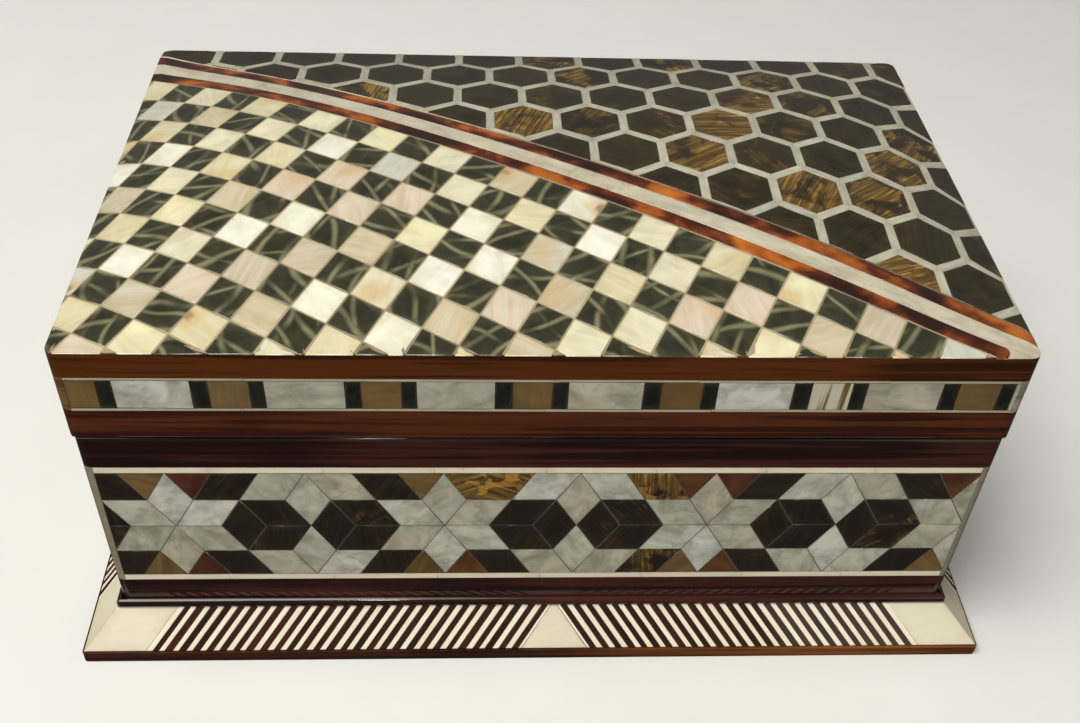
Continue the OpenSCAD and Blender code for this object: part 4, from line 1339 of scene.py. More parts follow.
    def reach_of(self, v: Array, sign: float) -> Array:
        """How far the line at each v runs along the band before it leaves the outline, by halving steps."""
        near, far = np.zeros_like(v), np.full_like(v, sign * 0.16)
        for _ in range(40):
            half = (near + far) / 2
            inside = self.top.depth_inside(self.slanted(half, v)) > self.plan_margin
            near, far = np.where(inside, half, near), np.where(inside, far, half)
        return near

    def ribbon(
        self, name: str, low: float, high: float, start: Callable[
            [Array], Array
        ], end: Callable[[Array], Array]
    ) -> bpy.types.Object:
        """A stripe that follows the top.

        Its section is a flat band with rounded edges, at columns v across it, and each point lies
        at u = start(v) + s * (end(v) - start(v)) for s from 0 to 1 along it.
        """
        edge, depth = min(0.00012, (high - low) / 5), 0.0005
        flat = np.linspace(low + edge, high - edge, 9)
        v = np.concatenate([[low, low], flat, [high, high]])
        h = np.concatenate([[-depth, -edge], np.zeros(9), [-edge, -depth]])
        s = np.linspace(0, 1, 90)[:, None]
        first, last = start(v), end(v)
        u = first + s * (last - first)
        vv, hh = np.broadcast_to(v, u.shape), np.broadcast_to(h, u.shape)
        flat_places = self.slanted(u, vv).reshape(-1, 2)
        points = self.top.place(flat_places, hh.ravel())
        up = self.top.normals(flat_places)
        tilt = np.broadcast_to(np.concatenate([[-1, -0.7], np.zeros(9), [0.7, 1]]), u.shape).ravel()[:, None]
        side = np.append(self.across, 0)
        normals = up * (1 - np.abs(tilt)) + side * tilt
        rows, columns = u.shape
        faces = grid_faces(rows, columns)
        cap = np.arange(columns)
        r = np.arange(rows - 1)
        foot = np.stack(
            [r * columns, r * columns + columns - 1, (r + 1) * columns + columns - 1, (r + 1) * columns],
            axis=1,
        )
        blocks = [faces, foot, cap[None], (cap[::-1] + (rows - 1) * columns)[None]]
        # Edge mask for grime and painted shade along the stripe's sides.
        rim = np.broadcast_to(np.concatenate([[1, 1, 0.6], np.zeros(7), [0.6, 1, 1]]), u.shape).ravel()
        return mesh_piece(
            name, points, blocks, np.column_stack([u.ravel(), vv.ravel()]), None,
            {"tint": np.full(len(points), 0.5), "glow": np.zeros(len(points)), "rim": rim},
            normals / np.linalg.norm(normals, axis=1)[:, None],
        )

    def build(self) -> None:
        """Lays all the inlay of the top."""
        pearl, shell, filler = self.squares()
        on = lambda tiles: [(self.top, tile) for tile in tiles]
        cut = TileCut(depth=0.0007, edge=0.00016, waver=0.0035)
        inlay((
            (
                "chequer_pearl_squares_polished",
                on(pearl),
                cut,
                FINISHES.chequer_pearl,
                "chequer_pearl_squares",
            ),
            (
                "chequer_black_squares_polished",
                on(shell),
                cut,
                FINISHES.streaked_shell,
                "chequer_black_squares",
            ),
            ("chequer_seam_filler", on(filler), TileCut(0.0006, 0.00001, 0.00010), FINISHES.filler),
        ), self.rng, "lid")
        hexagons, bars = self.honeycomb()
        cut = TileCut(depth=0.0007, edge=0.00022, waver=0.003)
        lattice_cut = TileCut(0.0006, 0.00010, 0.00008)
        inlay((
            (
                "honeycomb_shell_polished",
                on(hexagons),
                cut,
                FINISHES.honeycomb_shell,
                "honeycomb_shell_hexagons",
            ),
            ("honeycomb_lattice_polished", on(bars), lattice_cut, FINISHES.lattice, "honeycomb_lattice"),
        ), self.rng, "lid")
        left = lambda v: self.reach_of(v, -1.0)
        right = lambda v: self.reach_of(v, 1.0)
        half = self.shell_stripe / 2
        middle = sum(self.front_shell) / 2
        tip_u = (self.places.lid_w / 2 - self.stripe_stop - middle * self.across[0]) / self.along[0]
        tip = lambda v: tip_u - half + np.sqrt(np.maximum(half**2 - (v - middle) ** 2, 0))
        past_tip = lambda v: tip(v) + self.gap
        front = self.ribbon("diagonal_front_shell_polished", *self.front_shell, left, tip)
        dress(front, "lid", FINISHES.tortoiseshell, ["diagonal_front_shell_stripe"])
        back = self.ribbon("diagonal_back_shell_polished", *self.back_shell, left, right)
        dress(back, "lid", FINISHES.tortoiseshell, ["diagonal_back_shell_stripe"])
        shine = self.ribbon("diagonal_pearl_polished", *self.pearl, left, right)
        dress(shine, "lid", FINISHES.band_pearl, ["diagonal_pearl_stripe"])
        toe = self.ribbon("diagonal_pearl_toe", self.front_shell[0], self.pearl[0], past_tip, right)
        dress(toe, "lid", FINISHES.band_pearl)
        string = self.ribbon("diagonal_pale_line_polished", *self.line, left, right)
        dress(string, "lid", FINISHES.worn_bone, ["diagonal_pale_line"])


# ---------------------------------------------------------------- the lid's sides


@dataclass
class LidSides:
    """The band of pearl, horn and black bars round the lid, its rails and the lipping under the top."""

    places: Places
    rng: np.random.Generator
    strip_h: float = 0.0084
    band_h: float = 0.008
    line_h: float = 0.0008
    first_bar: float = 0.0089
    bar: float = 0.0034
    panel: float = 0.0166
    block: float = 0.0083
    growth: float = 0.0002
    corner: float = CORNER_R
    slack: float = 0.00005
    seam: float = 0.00006
    line_seam: float = 0.00008
    least: float = 1.0e-6

    def group_start(self, i: int) -> float:
        """Where a numbered bar-panel-bar-block group begins, from the side's left end."""
        return self.first_bar + i * (2 * self.bar + self.panel + self.block) + self.growth * i * (i + 1) / 2

    def leaning_box(self, x0: float, x1: float, z0: float, z1: float, lean: float) -> Array:
        """A rectangle whose top is moved sideways by lean times its height."""
        shift = lean * (z1 - z0) / 2
        return np.array([[x0 - shift, z0], [x1 - shift, z0], [x1 + shift, z1], [x0 + shift, z1]])

    def build(self) -> None:
        """Lays the band and its pale lines, then the lipping above them."""
        p = self.places
        z0 = p.lid_z + self.strip_h + self.line_h
        z1 = z0 + self.band_h
        seam = self.seam
        kinds: dict[str, list[tuple[Surface, Tile]]] = {
            "bars": [], "panels": [], "blocks": [], "lines": [], "beds": []
        }
        for side in Side:
            face = wall_face(side, p.lid_w / 2, p.lid_d / 2)
            long = p.lid_w if side.value % 2 == 0 else p.lid_d
            half = long / 2 - self.corner - self.slack
            ends = [((1, 0), half), ((-1, 0), half)]
            count = math.ceil(long / self.group_start(1)) + 2
            leans = self.rng.normal(0, 0.035, 8 * (count + 2))
            for i in range(-1, count):
                start = self.group_start(i) - long / 2
                group = self.group_start(i + 1) - self.group_start(i)
                marks = np.array(
                    [0, self.bar, self.bar + self.panel, 2 * self.bar + self.panel, group]
                ) + start
                marks[1:4] += self.rng.normal(0, 0.00018, 3)
                for k, kind in enumerate(["bars", "panels", "bars", "blocks"]):
                    lean = leans[(4 * (i + 1) + k) % len(leans)]
                    lean = lean if kind == "bars" else 0.0
                    shape = self.leaning_box(marks[k] + seam, marks[k + 1] - seam, z0 + seam, z1 - seam, lean)
                    shape = clipped_all(shape, ends)
                    if area_of(shape) < self.least:
                        continue
                    pale = 1.0 if (side is Side.FRONT and kind == "blocks" and i == 4) else 0.0
                    upright = pale or self.rng.random() < 0.4
                    grain = {
                        "bars": math.pi / 2, "panels": 0.15, "blocks": math.pi / 2 if upright else 0.0
                    }[kind]
                    grain += self.rng.normal(0, 0.08)
                    kinds[kind].append((face, Tile(shape, grain, float(self.rng.random()), pale)))
            kinds["beds"].append((face, Tile(rectangle(-half, half, z0 - self.line_h, z1 + self.line_h))))
            for low in (z0 - self.line_h, z1):
                for a, b in self.cuts(-half, half):
                    sag = self.rng.normal(0, 0.00006, 2)
                    box = rectangle(a, b, low + self.line_seam, low + self.line_h - self.line_seam)
                    box[:, 1] += np.array([sag[0], sag[1], sag[1], sag[0]])
                    kinds["lines"].append((face, Tile(box, 0.0, float(self.rng.random()))))
        cut = TileCut(depth=0.0005, edge=0.00010, waver=0.004)
        line_cut = TileCut(0.0005, 0.00008)
        inlay((
            ("lid_black_bars_polished", kinds["bars"], cut, FINISHES.black_bar, "lid_black_bars"),
            ("lid_pearl_panels_polished", kinds["panels"], cut, FINISHES.grey_pearl, "lid_pearl_panels"),
            ("lid_brown_blocks_polished", kinds["blocks"], cut, FINISHES.band_horn, "lid_brown_blocks"),
            ("lid_pale_lines_polished", kinds["lines"], line_cut, FINISHES.strip_bone, "lid_pale_lines"),
            ("lid_band_bed", kinds["beds"], BED_CUT, FINISHES.dark_filler),
        ), self.rng, "lid")
        self.lipping()

    def cuts(self, start: float, end: float, length: float = 0.034) -> list[tuple[float, float]]:
        """A line cut into strips of uneven length, a hair apart."""
        count = max(1, round((end - start) / length))
        marks = np.linspace(start, end, count + 1)
        marks[1:-1] += self.rng.normal(0, length * 0.12, count - 1)
        return [(a, b - 0.00004) for a, b in zip(marks[:-1], marks[1:])]

    def lipping(self) -> None:
        """The thin wood edge between the rails and the inlay.

        A section that bows out by a hundredth of a millimetre at its middle is carried round the
        rounded plan.
        """
        p = self.places
        outline = rounded_plan(p.lid_w, p.lid_d, CORNER_R, 8)
        foot, bow, lip = p.rail_top_z - 0.0001, (p.rail_top_z + p.edge_z) / 2 - 0.0003, p.edge_z - 0.00062
        z = np.array([foot, p.rail_top_z, bow, p.edge_z - 0.00065, lip, lip, foot])
        reach = np.array([-0.00002, 0.0, 0.00001, -0.00001, -0.00012, -0.0012, -0.0012])
        rows = np.stack([inset(outline, -r) for r in reach], axis=1)
        points = np.concatenate(
            [rows, np.broadcast_to(z[None, :, None], (*rows.shape[:2], 1))], axis=2
        ).reshape(-1, 3)
        faces = grid_faces(len(outline), len(z), close_rows=True, close_columns=True)
        piece = mesh_piece("lid_edge_lipping", points, [faces], points[:, :2])
        piece.data.polygons.foreach_set("use_smooth", np.zeros(len(piece.data.polygons), bool))
        dress(piece, "lid", wood_finish("lid_lipping", "red_wood", False, p, Tone.UPPER))


# ---------------------------------------------------------------- the body's mosaic


@dataclass
class BodyMosaic:
    """Stars of pearl rhombi between dark hexagons, with the bone lines above and below."""

    places: Places
    rng: np.random.Generator
    rhomb: float = 0.0105
    line_h: float = 0.002
    border_h: float = 0.0174
    seam: float = 0.00022
    first_star: float = 0.018
    corner: float = CORNER_R
    slack: float = 0.00004
    line_seam: float = 0.00008
    line_cuts: int = 8

    PEARL = [
        [(0, 0), (0.5, 1), (0, 2), (-0.5, 1)], [(0, 0), (1, 0), (1.5, 1), (0.5, 1)], [
            (0, 0), (-0.5, 1), (-1.5, 1), (-1, 0)
        ],
        [(3, 0), (3.5, 1), (3, 2), (2.5, 1)], [(1.5, 1), (2.5, 1), (3, 2), (2, 2)], [
            (-1.5, 1), (-2, 2), (-3, 2), (-2.5, 1)
        ],
    ]
    DARK = [[(0.5, 1), (1.5, 1), (2, 2), (1, 2)], [(-0.5, 1), (-1, 2), (-2, 2), (-1.5, 1)]]
    BROWN = [[(0, 2), (0.5, 1), (1, 2)], [(-1, 2), (-0.5, 1), (0, 2)]]

    def upside_down(self, shape: Array) -> Array:
        """A shape mirrored top to bottom, still counter-clockwise."""
        return shape[::-1] * np.array([1, -1])

    def hexagon_rhombi(self, left: bool) -> list[Array]:
        """A hexagon about the origin as three rhombi, the upright one at its left or right."""
        upright = np.array([(-1, 0), (-0.5, -1), (0, 0), (-0.5, 1)], float)
        upper = np.array([(0, 0), (1, 0), (0.5, 1), (-0.5, 1)], float)
        lower = self.upside_down(upper)
        trio = [upright, upper, lower]
        return trio if left else [shape[::-1] * np.array([-1, 1]) for shape in trio]

    def grain_and_tint(self, low: float = 0.0, high: float = math.pi) -> tuple[float, float]:
        """A grain direction between two angles, and a tint from 0 to 1."""
        return self.rng.uniform(low, high), self.rng.random()

    def pick(self, values: list[float], shares: list[float]) -> float:
        """One of several values, each with its own share."""
        return float(self.rng.choice(values, p=shares))

    def counter_clockwise(self, shape: Array) -> Array:
        """The same outline, turned if it runs clockwise."""
        after = np.roll(shape, -1, axis=0)
        turning = (shape[:, 0] * after[:, 1] - shape[:, 1] * after[:, 0]).sum()
        return shape if turning > 0 else shape[::-1]

    def build(self) -> None:
        """Lays the mosaic and its bone lines."""
        p = self.places
        z0 = p.base_t + self.border_h + self.line_h
        row = self.rhomb * math.sin(math.pi / 3)
        scale = np.array([self.rhomb, row])
        pearl, dark, brown, lines, beds = [], [], [], [], []
        for side in Side:
            face = wall_face(side, p.body_w / 2, p.body_d / 2)
            long = p.body_w if side.value % 2 == 0 else p.body_d
            half = long / 2 - self.corner - self.slack
            ends = [((1, 0), half), ((-1, 0), half)]
            start = self.first_star - long / 2
            stars = math.ceil(2 * half / (6 * self.rhomb)) + 1

            def put(kind: list, shape: Array, star: int, *dressing: float) -> None:
                """Cuts one shape to its place beside a star and adds it, if enough of it is left."""
                placed = np.array(
                    [start + 6 * star * self.rhomb, z0 + 2 * row]
                ) + self.counter_clockwise(shape) * scale
                cut = clipped_all(shrunk(placed, self.seam / 2), ends)
                if area_of(cut) > LEAST_TILE:
                    kind.append((face, Tile(cut, *dressing)))

            for star in range(-1, stars + 1):
                for flip in (False, True):
                    turned = (lambda s: self.upside_down(s)) if flip else (lambda s: s)
                    for points in self.PEARL:
                        put(pearl, turned(np.array(points, float)), star, *self.grain_and_tint(), 0.0)
                    for k, points in enumerate(self.DARK):
                        gold = (star, k, flip) == (1, 0, False)
                        glow = 1.0 if gold else self.pick([0.0, 0.05, 0.3, 0.75], [0.4, 0.3, 0.2, 0.1])
                        put(dark, turned(np.array(points, float)), star, *self.grain_and_tint(), glow)
                    for k, points in enumerate(self.BROWN):
                        patch = side is Side.FRONT and star == 1 and k == 0 and not flip
                        kind = dark if patch else brown
                        put(kind, turned(np.array(points, float)), star, *self.grain_and_tint(), float(patch))
                for centre in (2, 4):
                    left = (star, centre) != (1, 2) if side is Side.FRONT else self.rng.random() >= 0.3
                    for shape in self.hexagon_rhombi(left):
                        glow = self.pick([0.0, 0.1, 0.22], [0.5, 0.3, 0.2])
                        put(dark, shape + np.array([centre, 0]), star, *self.grain_and_tint(0.6, 2.4), glow)
            height = 4 * row
            for low in (z0 - self.line_h, z0 + height):
                box = rectangle(-half, half, low + self.line_seam, low + self.line_h - self.line_seam)
                marks = np.linspace(-half, half, self.line_cuts + 1)
                for a, b in zip(marks[:-1], marks[1:]):
                    piece = clipped_all(box, [((1, 0), b - 0.00001), ((-1, 0), -a)])
                    lines.append((face, Tile(piece, 0.0, float(self.rng.random()))))
            beds.append((face, Tile(rectangle(-half, half, z0 - self.line_h, z0 + height + self.line_h))))
        cut = TileCut(depth=0.00055, edge=0.00008, waver=0.002)
        inlay((
            ("mosaic_pearl_polished", pearl, cut, FINISHES.grey_pearl, "mosaic_pearl_pieces"),
            ("mosaic_dark_polished", dark, cut, FINISHES.mosaic_shell, "mosaic_dark_pieces"),
            ("mosaic_brown_polished", brown, cut, FINISHES.horn, "mosaic_brown_pieces"),
            ("body_bone_lines_polished", lines, TileCut(0.00055, 0.00012), FINISHES.bone, "body_bone_lines"),
            ("mosaic_seam_filler", beds, BED_CUT, FINISHES.grey_filler),
        ), self.rng, "body")


# ---------------------------------------------------------------- the plinth


@dataclass
class Plinth:
    """The sloped skirt with its raking stripes, bone triangles and corner pieces."""

    places: Places
    rng: np.random.Generator
    slope_h: float = 0.0085
    inset_w: float = 0.0095
    corner_len: float = 0.0153
    triangle: float = 0.0096
    lean: float = 0.009
    pitch: float = 0.0033
    stripe: float = 0.0015
    shift: float = 0.004
    seam: float = 0.00002
    veneer: float = 0.0006
    toe: float = 0.00066
    string: float = 0.0007
    least: float = 0.4e-6

    def build(self) -> None:
        """Lays the stripes, triangles and corners on the four slopes."""
        p = self.places
        angle = math.atan(self.slope_h / self.inset_w)
        long_way = math.hypot(self.slope_h, self.inset_w)
        ends = [((0, -1), -self.toe), ((0, 1), long_way - self.veneer * math.tan(angle) - self.seam)]
        bone, dark, corners, triangles = [], [], [], []
        for side in Side:
            turn = math.pi / 2 * side.value
            c, s = round(math.cos(turn)), round(math.sin(turn))
            reach = (p.base_d if side.value % 2 == 0 else p.base_w) / 2
            half = (p.base_w if side.value % 2 == 0 else p.base_d) / 2
            inward = np.array([-s, c, 0]) * math.cos(angle) + np.array([0, 0, math.sin(angle)])
            out = np.array([s, -c, 0]) * math.sin(angle) + np.array([0, 0, math.cos(angle)])
            face = FlatFace((s * reach, -c * reach, p.base_t), (c, s, 0), tuple(inward), tuple(out))
            middle = self.shift if side is Side.FRONT else 0.0
            for hand in (-1, 1):
                mid = hand * middle
                foot = mid + self.triangle
                end = half - self.corner_len
                count = round((end - foot) / self.pitch)
                pitch = (end - foot) / count
                limits = ends + [((-1, 0), -mid - self.seam)]
                jitter = self.rng.normal(0, 0.00008, count + 1)
                jitter[[0, -1]] = 0
                marks = foot + np.arange(count + 1) * pitch + jitter
                for i in range(count):
                    split = marks[i + 1] - self.stripe * self.rng.uniform(0.9, 1.08)
                    for kind, a, b in ((dark, marks[i], split), (bone, split, marks[i + 1])):
                        strip = np.array(
                            [[a, 0], [b, 0], [b - self.lean, long_way], [a - self.lean, long_way]]
                        )
                        self.put(
                            kind,
                            face,
                            shrunk(strip, self.seam),
                            limits,
                            hand,
                            math.atan2(long_way, -self.lean * hand),
                        )
                inner = end + self.seam
                corner = np.array(
                    [[inner, 0], [half + 0.001, 0], [half + 0.001, long_way], [inner - self.lean, long_way]]
                )
                norm = math.hypot(1, math.cos(angle))
                mitre = [((1 / norm, math.cos(angle) / norm), (half - self.seam) / norm)]
                self.put(corners, face, corner, ends + mitre, hand, 0.3)
            line = np.array([long_way, self.lean]) / math.hypot(long_way, self.lean)
            limit = line[0] * self.triangle - self.seam
            block = np.array([[-1, 0], [1, 0], [1, 1], [-1, 1]]) * np.array([self.triangle, long_way])
            shape = clipped_all(block, ends + [(line, limit), (line * np.array([-1, 1]), limit)])
            core = clipped_all(
                shape, [(line, limit - self.string), (line * np.array([-1, 1]), limit - self.string)]
            )
            move = np.array([middle, 0])
            triangles.append((face, Tile(core + move, 0.2, 0.5)))
            for sign in (1, -1):
                across = line * np.array([sign, 1])
                edge = clipped_all(shape, [(-across, -(limit - self.string + 0.00012))])
                if sign < 0:
                    edge = clipped_all(edge, [(line, limit - self.string)])
                bone.append((face, Tile(edge + move, math.atan2(long_way, -self.lean * sign), 0.4)))
        cut = TileCut(depth=0.00052, edge=0.00007, waver=0.003)
        wide = TileCut(depth=0.00052, edge=0.00012)
        inlay((
            ("plinth_bone_stripes_polished", bone, cut, FINISHES.bone, "plinth_bone_stripes"),
            ("plinth_dark_stripes_polished", dark, cut, FINISHES.stripe_dark, "plinth_dark_stripes"),
            ("plinth_bone_corners_polished", corners, wide, FINISHES.corner_bone, "plinth_bone_corners"),
            (
                "plinth_bone_triangles_polished",
                triangles,
                wide,
                FINISHES.corner_bone,
                "plinth_bone_triangles",
            ),
        ), self.rng, "body")

    def put(self, kind: list, face: Surface, shape: Array, limits: list, hand: int, grain: float) -> None:
        """Cuts a shape to the slope, mirrors it for the left hand and adds it, if enough of it is left."""
        shape = clipped_all(shape, limits)
        if area_of(shape) < self.least:
            return
        if hand < 0:
            shape = shape[::-1] * np.array([-1, 1])
        kind.append((face, Tile(shape, grain, float(self.rng.random()))))


# ---------------------------------------------------------------- lining


@dataclass
class Lining:
    """Velvet pads glued into the box and under the lid, each a low crowned cushion over a board."""

    rng: np.random.Generator
    rows: int = 26
    fill: float = 0.3

    def pad(self, name: str, node: str, body: str, axis: int, face_up: float) -> None:
        """One pad in the space of its CAD board.

        On a grid of (a, b) from -1 to 1, its upper face stands at full thickness times
        (1 - a^12)^(1/4) * (1 - b^12)^(1/4), plus a slow unevenness, and its back is flat.
        """
        low, high = (np.array(corner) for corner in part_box(node))
        others = [k for k in range(3) if k != axis]
        size = high - low
        turns = np.sin(np.linspace(-math.pi / 2, math.pi / 2, self.rows))
        a, b = np.meshgrid(turns, turns, indexing="ij")
        crown = ((1 - a**12) * (1 - b**12)).clip(0) ** 0.25
        phase = self.rng.uniform(0, 6, 4)
        uneven = 0.06 * (
            np.sin(
                3.1 * a + phase[0]
            ) * np.sin(2.3 * b + phase[1]) + 0.5 * np.sin(6 * a + phase[2]) * np.sin(5 * b + phase[3])
        )
        lift = crown * (0.9 + uneven).clip(0, 1)
        points = np.zeros((2, self.rows, self.rows, 3))
        points[..., others[0]] = (low + high)[others[0]] / 2 + a * size[others[0]] / 2
        points[..., others[1]] = (low + high)[others[1]] / 2 + b * size[others[1]] / 2
        base, tip = (low[axis], high[axis]) if face_up > 0 else (high[axis], low[axis])
        points[0, ..., axis] = base + (tip - base) * lift
        points[1, ..., axis] = base
        top = grid_faces(self.rows, self.rows)
        count = self.rows * self.rows
        index = np.arange(count).reshape(self.rows, self.rows)
        rim = np.concatenate([index[0, :-1], index[:-1, -1], index[-1, :0:-1], index[:0:-1, 0]])
        walls = np.stack([rim, np.roll(rim, -1), np.roll(rim, -1) + count, rim + count], axis=1)
        blocks = [top, top[:, ::-1] + count, walls[:, ::-1]]
        piece = mesh_piece(name, points.reshape(-1, 3), blocks, points.reshape(-1, 3)[:, others])
        corners = points.reshape(2, self.rows, self.rows, 3)[0]
        across = np.cross(corners[1, 0] - corners[0, 0], corners[0, 1] - corners[0, 0])
        if across[axis] * (tip - base) < 0:
            piece.data.flip_normals()
        dress(piece, body, FINISHES.velvet, [node])

    def build(self) -> None:
        """Pads the floor, the four walls and the inside of the lid."""
        self.pad("velvet_floor", "lining_floor", "body", 2, 1)
        self.pad("velvet_front", "lining_front", "body", 1, 1)
        self.pad("velvet_back", "lining_back", "body", 1, -1)
        self.pad("velvet_right", "lining_right", "body", 0, -1)
        self.pad("velvet_left", "lining_left", "body", 0, 1)
        self.pad("velvet_lid", "lid_lining", "lid", 2, -1)


# ---------------------------------------------------------------- woodwork and metal of the CAD frame


def wood_finish(name: str, slot: str, along_y: bool, places: Places, tone: Tone) -> WoodFinish:
    """The lacquered wood of one group of boards.

    Args:
        name: The material's name.
        slot: A slot name, stored on the finish and not used.
        along_y: Whether the grain runs along y.
        places: The box's places, for the height where the lid's two strips change tone.
        tone: Which boards they are.

    Returns:
        The finish.
    """
    orange = ((0.028, 0.007, 0.001), (0.088, 0.024, 0.003))
    red = ((0.028, 0.006, 0.002), (0.082, 0.022, 0.007))
    mahogany = ((0.012, 0.004, 0.003), (0.050, 0.014, 0.009))
    base = ((0.014, 0.004, 0.002), (0.055, 0.014, 0.006))
    amber = ((0.08, 0.025, 0.005), (0.22, 0.075, 0.016))
    lower, upper, rest = {
        Tone.LID: (red, orange, {"upper_from": places.lid_z + places.strips_meet}),
        Tone.UPPER: (orange, (None, None), {}),
        Tone.BODY: (mahogany, (None, None), {"ripple": 0.9, "coat": 0.65}),
        Tone.BASE: (base, amber, {"fade_from": -0.01, "fade_to": 0.10}),
        Tone.BEAD: (mahogany, (None, None), {"ripple": 0.6, "coat": 0.5}),
    }[tone]
    return WoodFinish(
        name, slot, dark=lower[0], light=lower[1], upper_dark=upper[0], upper_light=upper[1],
        along_y=along_y, **rest,
    )


@dataclass
class Woodwork:
    """The boards, rails, bead and hinges that are shown as the CAD frame has them."""

    places: Places
    nodes: dict

    def recoat(self, names: Sequence[str], finish: Finish) -> None:
        """Puts a finish on CAD nodes, in every slot that they have."""
        for name in names:
            piece = self.nodes[name]
            piece.data.materials.clear()
            piece.data.materials.append(finish.material())
            LOG.info("%s: kept from the frame with %s", name, finish.name)

    def build(self) -> None:
        """Dresses every CAD node that stays in view."""
        p = self.places
        for along_y, sides in ((False, ("front", "back")), (True, ("right", "left"))):
            tag = "_y" if along_y else "_x"
            self.recoat(
                [f"lid_{side}_rail" for side in sides],
                wood_finish("lid_wood" + tag, "red_wood", along_y, p, Tone.LID),
            )
            self.recoat(
                [f"{side}_panel" for side in sides],
                wood_finish("body_wood" + tag, "dark_wood", along_y, p, Tone.BODY),
            )
            self.recoat(
                [f"plinth_{side}_rail" for side in sides],
                wood_finish("plinth_wood" + tag, "dark_wood", along_y, p, Tone.BEAD),
            )
        self.recoat(["base_board"], wood_finish("base_wood", "red_wood", False, p, Tone.BASE))
        self.recoat(["plinth_bead"], wood_finish("bead_wood", "red_wood", False, p, Tone.BEAD))
        self.recoat(["lid_top_board"], wood_finish("board_wood", "dark_wood", False, p, Tone.BODY))
        self.recoat(
            ["lid_corner_strips"],
            WoodFinish(
                "lid_corner_horn",
                "brown_horn",
                dark=(0.07, 0.035, 0.013),
                light=(0.15, 0.085, 0.032),
                upper_dark=(0.20, 0.17, 0.11),
                upper_light=(0.36, 0.32, 0.23),
                fade_from=0.0,
                fade_to=0.01,
            ),
        )
        self.recoat(
            ["body_corner_strips"],
            BoneFinish(
                "corner_strip_bone",
                "bone",
                pale=(0.22, 0.20, 0.14),
                yellowed=(0.11, 0.08, 0.045),
                tiles=False,
            ),
        )
        brass = [n for n in self.nodes if "hinge" in n or "screws" in n]
        self.recoat(brass, FINISHES.brass)


# ---------------------------------------------------------------- the studio


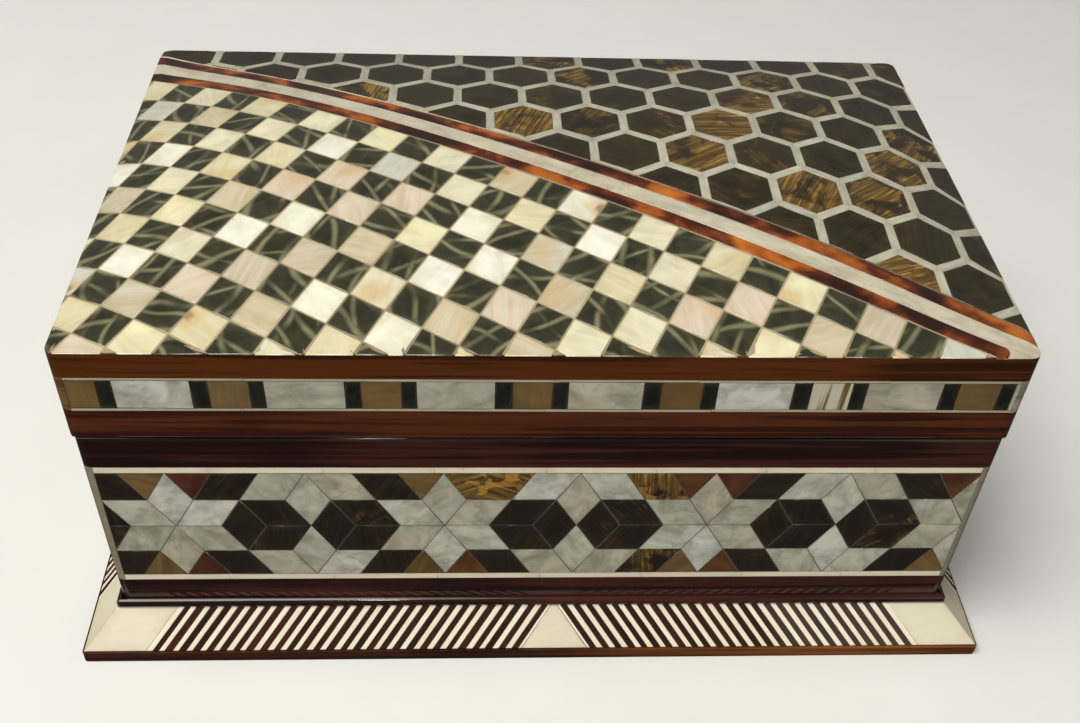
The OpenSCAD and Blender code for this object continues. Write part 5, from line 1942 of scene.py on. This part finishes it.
@dataclass
class Studio:
    """A pale floor, soft lights and the camera."""

    flat_r: float = 3.0
    turn_r: float = 1.6
    aim_z: float = 0.05
    lens: float = 40.57
    spot: tuple[float, float, float] = (-0.0166, -0.2537, 0.2647)

    def floor(self) -> None:
        """A pale round sheet: past its flat part, its height follows a quarter circle."""
        turn = np.linspace(0, 2 * math.pi, 96, endpoint=False)
        arc = np.linspace(0, math.pi / 2, 14)[1:]
        far = np.concatenate(
            [[0.001], np.linspace(0.2, self.flat_r, 15), self.flat_r + self.turn_r * np.sin(arc)]
        )
        lift = np.concatenate([np.zeros(16), self.turn_r * (1 - np.cos(arc))])
        x, y = far[:, None] * np.cos(turn), far[:, None] * np.sin(turn)
        points = np.stack([x, y, np.broadcast_to(lift[:, None], x.shape)], axis=2).reshape(-1, 3)
        piece = mesh_piece(
            "floor", points, [grid_faces(len(far), len(turn), close_columns=True)], points[:, :2]
        )
        material = bpy.data.materials.new("floor_paper")
        material.use_nodes = True
        shader = material.node_tree.nodes["Principled BSDF"]
        tree = Tree(material.node_tree)
        tone = tree.noise(tree.add("ShaderNodeTexCoord").outputs["Object"], 40.0, 3.0)
        tree.join(tree.mix(tone, (0.66, 0.66, 0.65), (0.70, 0.70, 0.69)), shader.inputs["Base Color"])
        tree.join(0.9, shader.inputs["Roughness"])
        piece.data.materials.append(material)
        piece.visible_glossy = False

    def light(
        self, name: str, place: Sequence[float], size: float, power: float, tint: Colour = (1, 1, 1)
    ) -> None:
        """A square soft light aimed at the box."""
        data = bpy.data.lights.new(name, "AREA")
        data.shape, data.size, data.energy, data.color = "SQUARE", size, power, tint
        lamp = bpy.data.objects.new(name, data)
        bpy.context.scene.collection.objects.link(lamp)
        back = np.array(place, float) - np.array([0, 0, self.aim_z])
        back /= np.linalg.norm(back)
        right = np.cross([0, 0, 1], back)
        right = right / np.linalg.norm(right)
        up = np.cross(back, right)
        lamp.matrix_world = Matrix([[right[i], up[i], back[i], place[i]] for i in range(3)] + [[0, 0, 0, 1]])

    def build(self) -> None:
        """Sets the floor, the lights, the sky and the camera."""
        self.floor()
        self.light("window", (-0.45, -0.30, 1.25), 0.8, 21.0, (1.0, 0.975, 0.90))
        self.light("fill", (0.9, -1.1, 0.75), 0.9, 1.5, (1.0, 0.98, 0.93))
        self.light("bulb", (-0.12, -0.62, 0.95), 0.05, 1.2, (1.0, 0.97, 0.90))
        world = bpy.data.worlds.new("studio")
        bpy.context.scene.world = world
        world.use_nodes = True
        sky = Tree(world.node_tree)
        height = sky.add(
            "ShaderNodeSeparateXYZ", {0: sky.add("ShaderNodeTexCoord").outputs["Generated"]}
        ).outputs["Z"]
        shade = sky.ramp(
            sky.between(height, -0.4, 1.0),
            [(0.0, (0.05, 0.05, 0.05)), (0.45, (0.16, 0.16, 0.16)), (1.0, (0.21, 0.21, 0.20))],
        )
        sky.join(shade, world.node_tree.nodes["Background"].inputs[0])
        data = bpy.data.cameras.new("camera")
        data.lens, data.sensor_width, data.clip_start = self.lens, 36.0, 0.01
        camera = bpy.data.objects.new("camera", data)
        bpy.context.scene.collection.objects.link(camera)
        right, up, back = (0.99854, -0.03677, 0.03955), (-0.00473, 0.67002, 0.74232), (
            -0.05380, -0.74143, 0.66887
        )
        camera.matrix_world = Matrix(
            [[right[i], up[i], back[i], self.spot[i]] for i in range(3)] + [[0, 0, 0, 1]]
        )
        bpy.context.scene.camera = camera
        bpy.context.scene.view_settings.view_transform = "Standard"


def main() -> None:
    """Builds every part of the scene in order."""
    logging.basicConfig(level=logging.INFO, format="%(message)s")
    kept = set(frame["nodes"].values()) | set(frame["bodies"].values())
    for stray in [o for o in bpy.data.objects if o not in kept]:
        bpy.data.objects.remove(stray)
    places = Places.from_frame()
    LOG.info("places: %s", places)
    streams = [np.random.default_rng(SEED + k) for k in range(5)]
    Woodwork(places, frame["nodes"]).build()
    LidTopInlay(places, streams[0]).build()
    LidSides(places, streams[1]).build()
    BodyMosaic(places, streams[2]).build()
    Plinth(places, streams[3]).build()
    Lining(streams[4]).build()
    Studio().build()


if __name__ == "__main__":
    main()
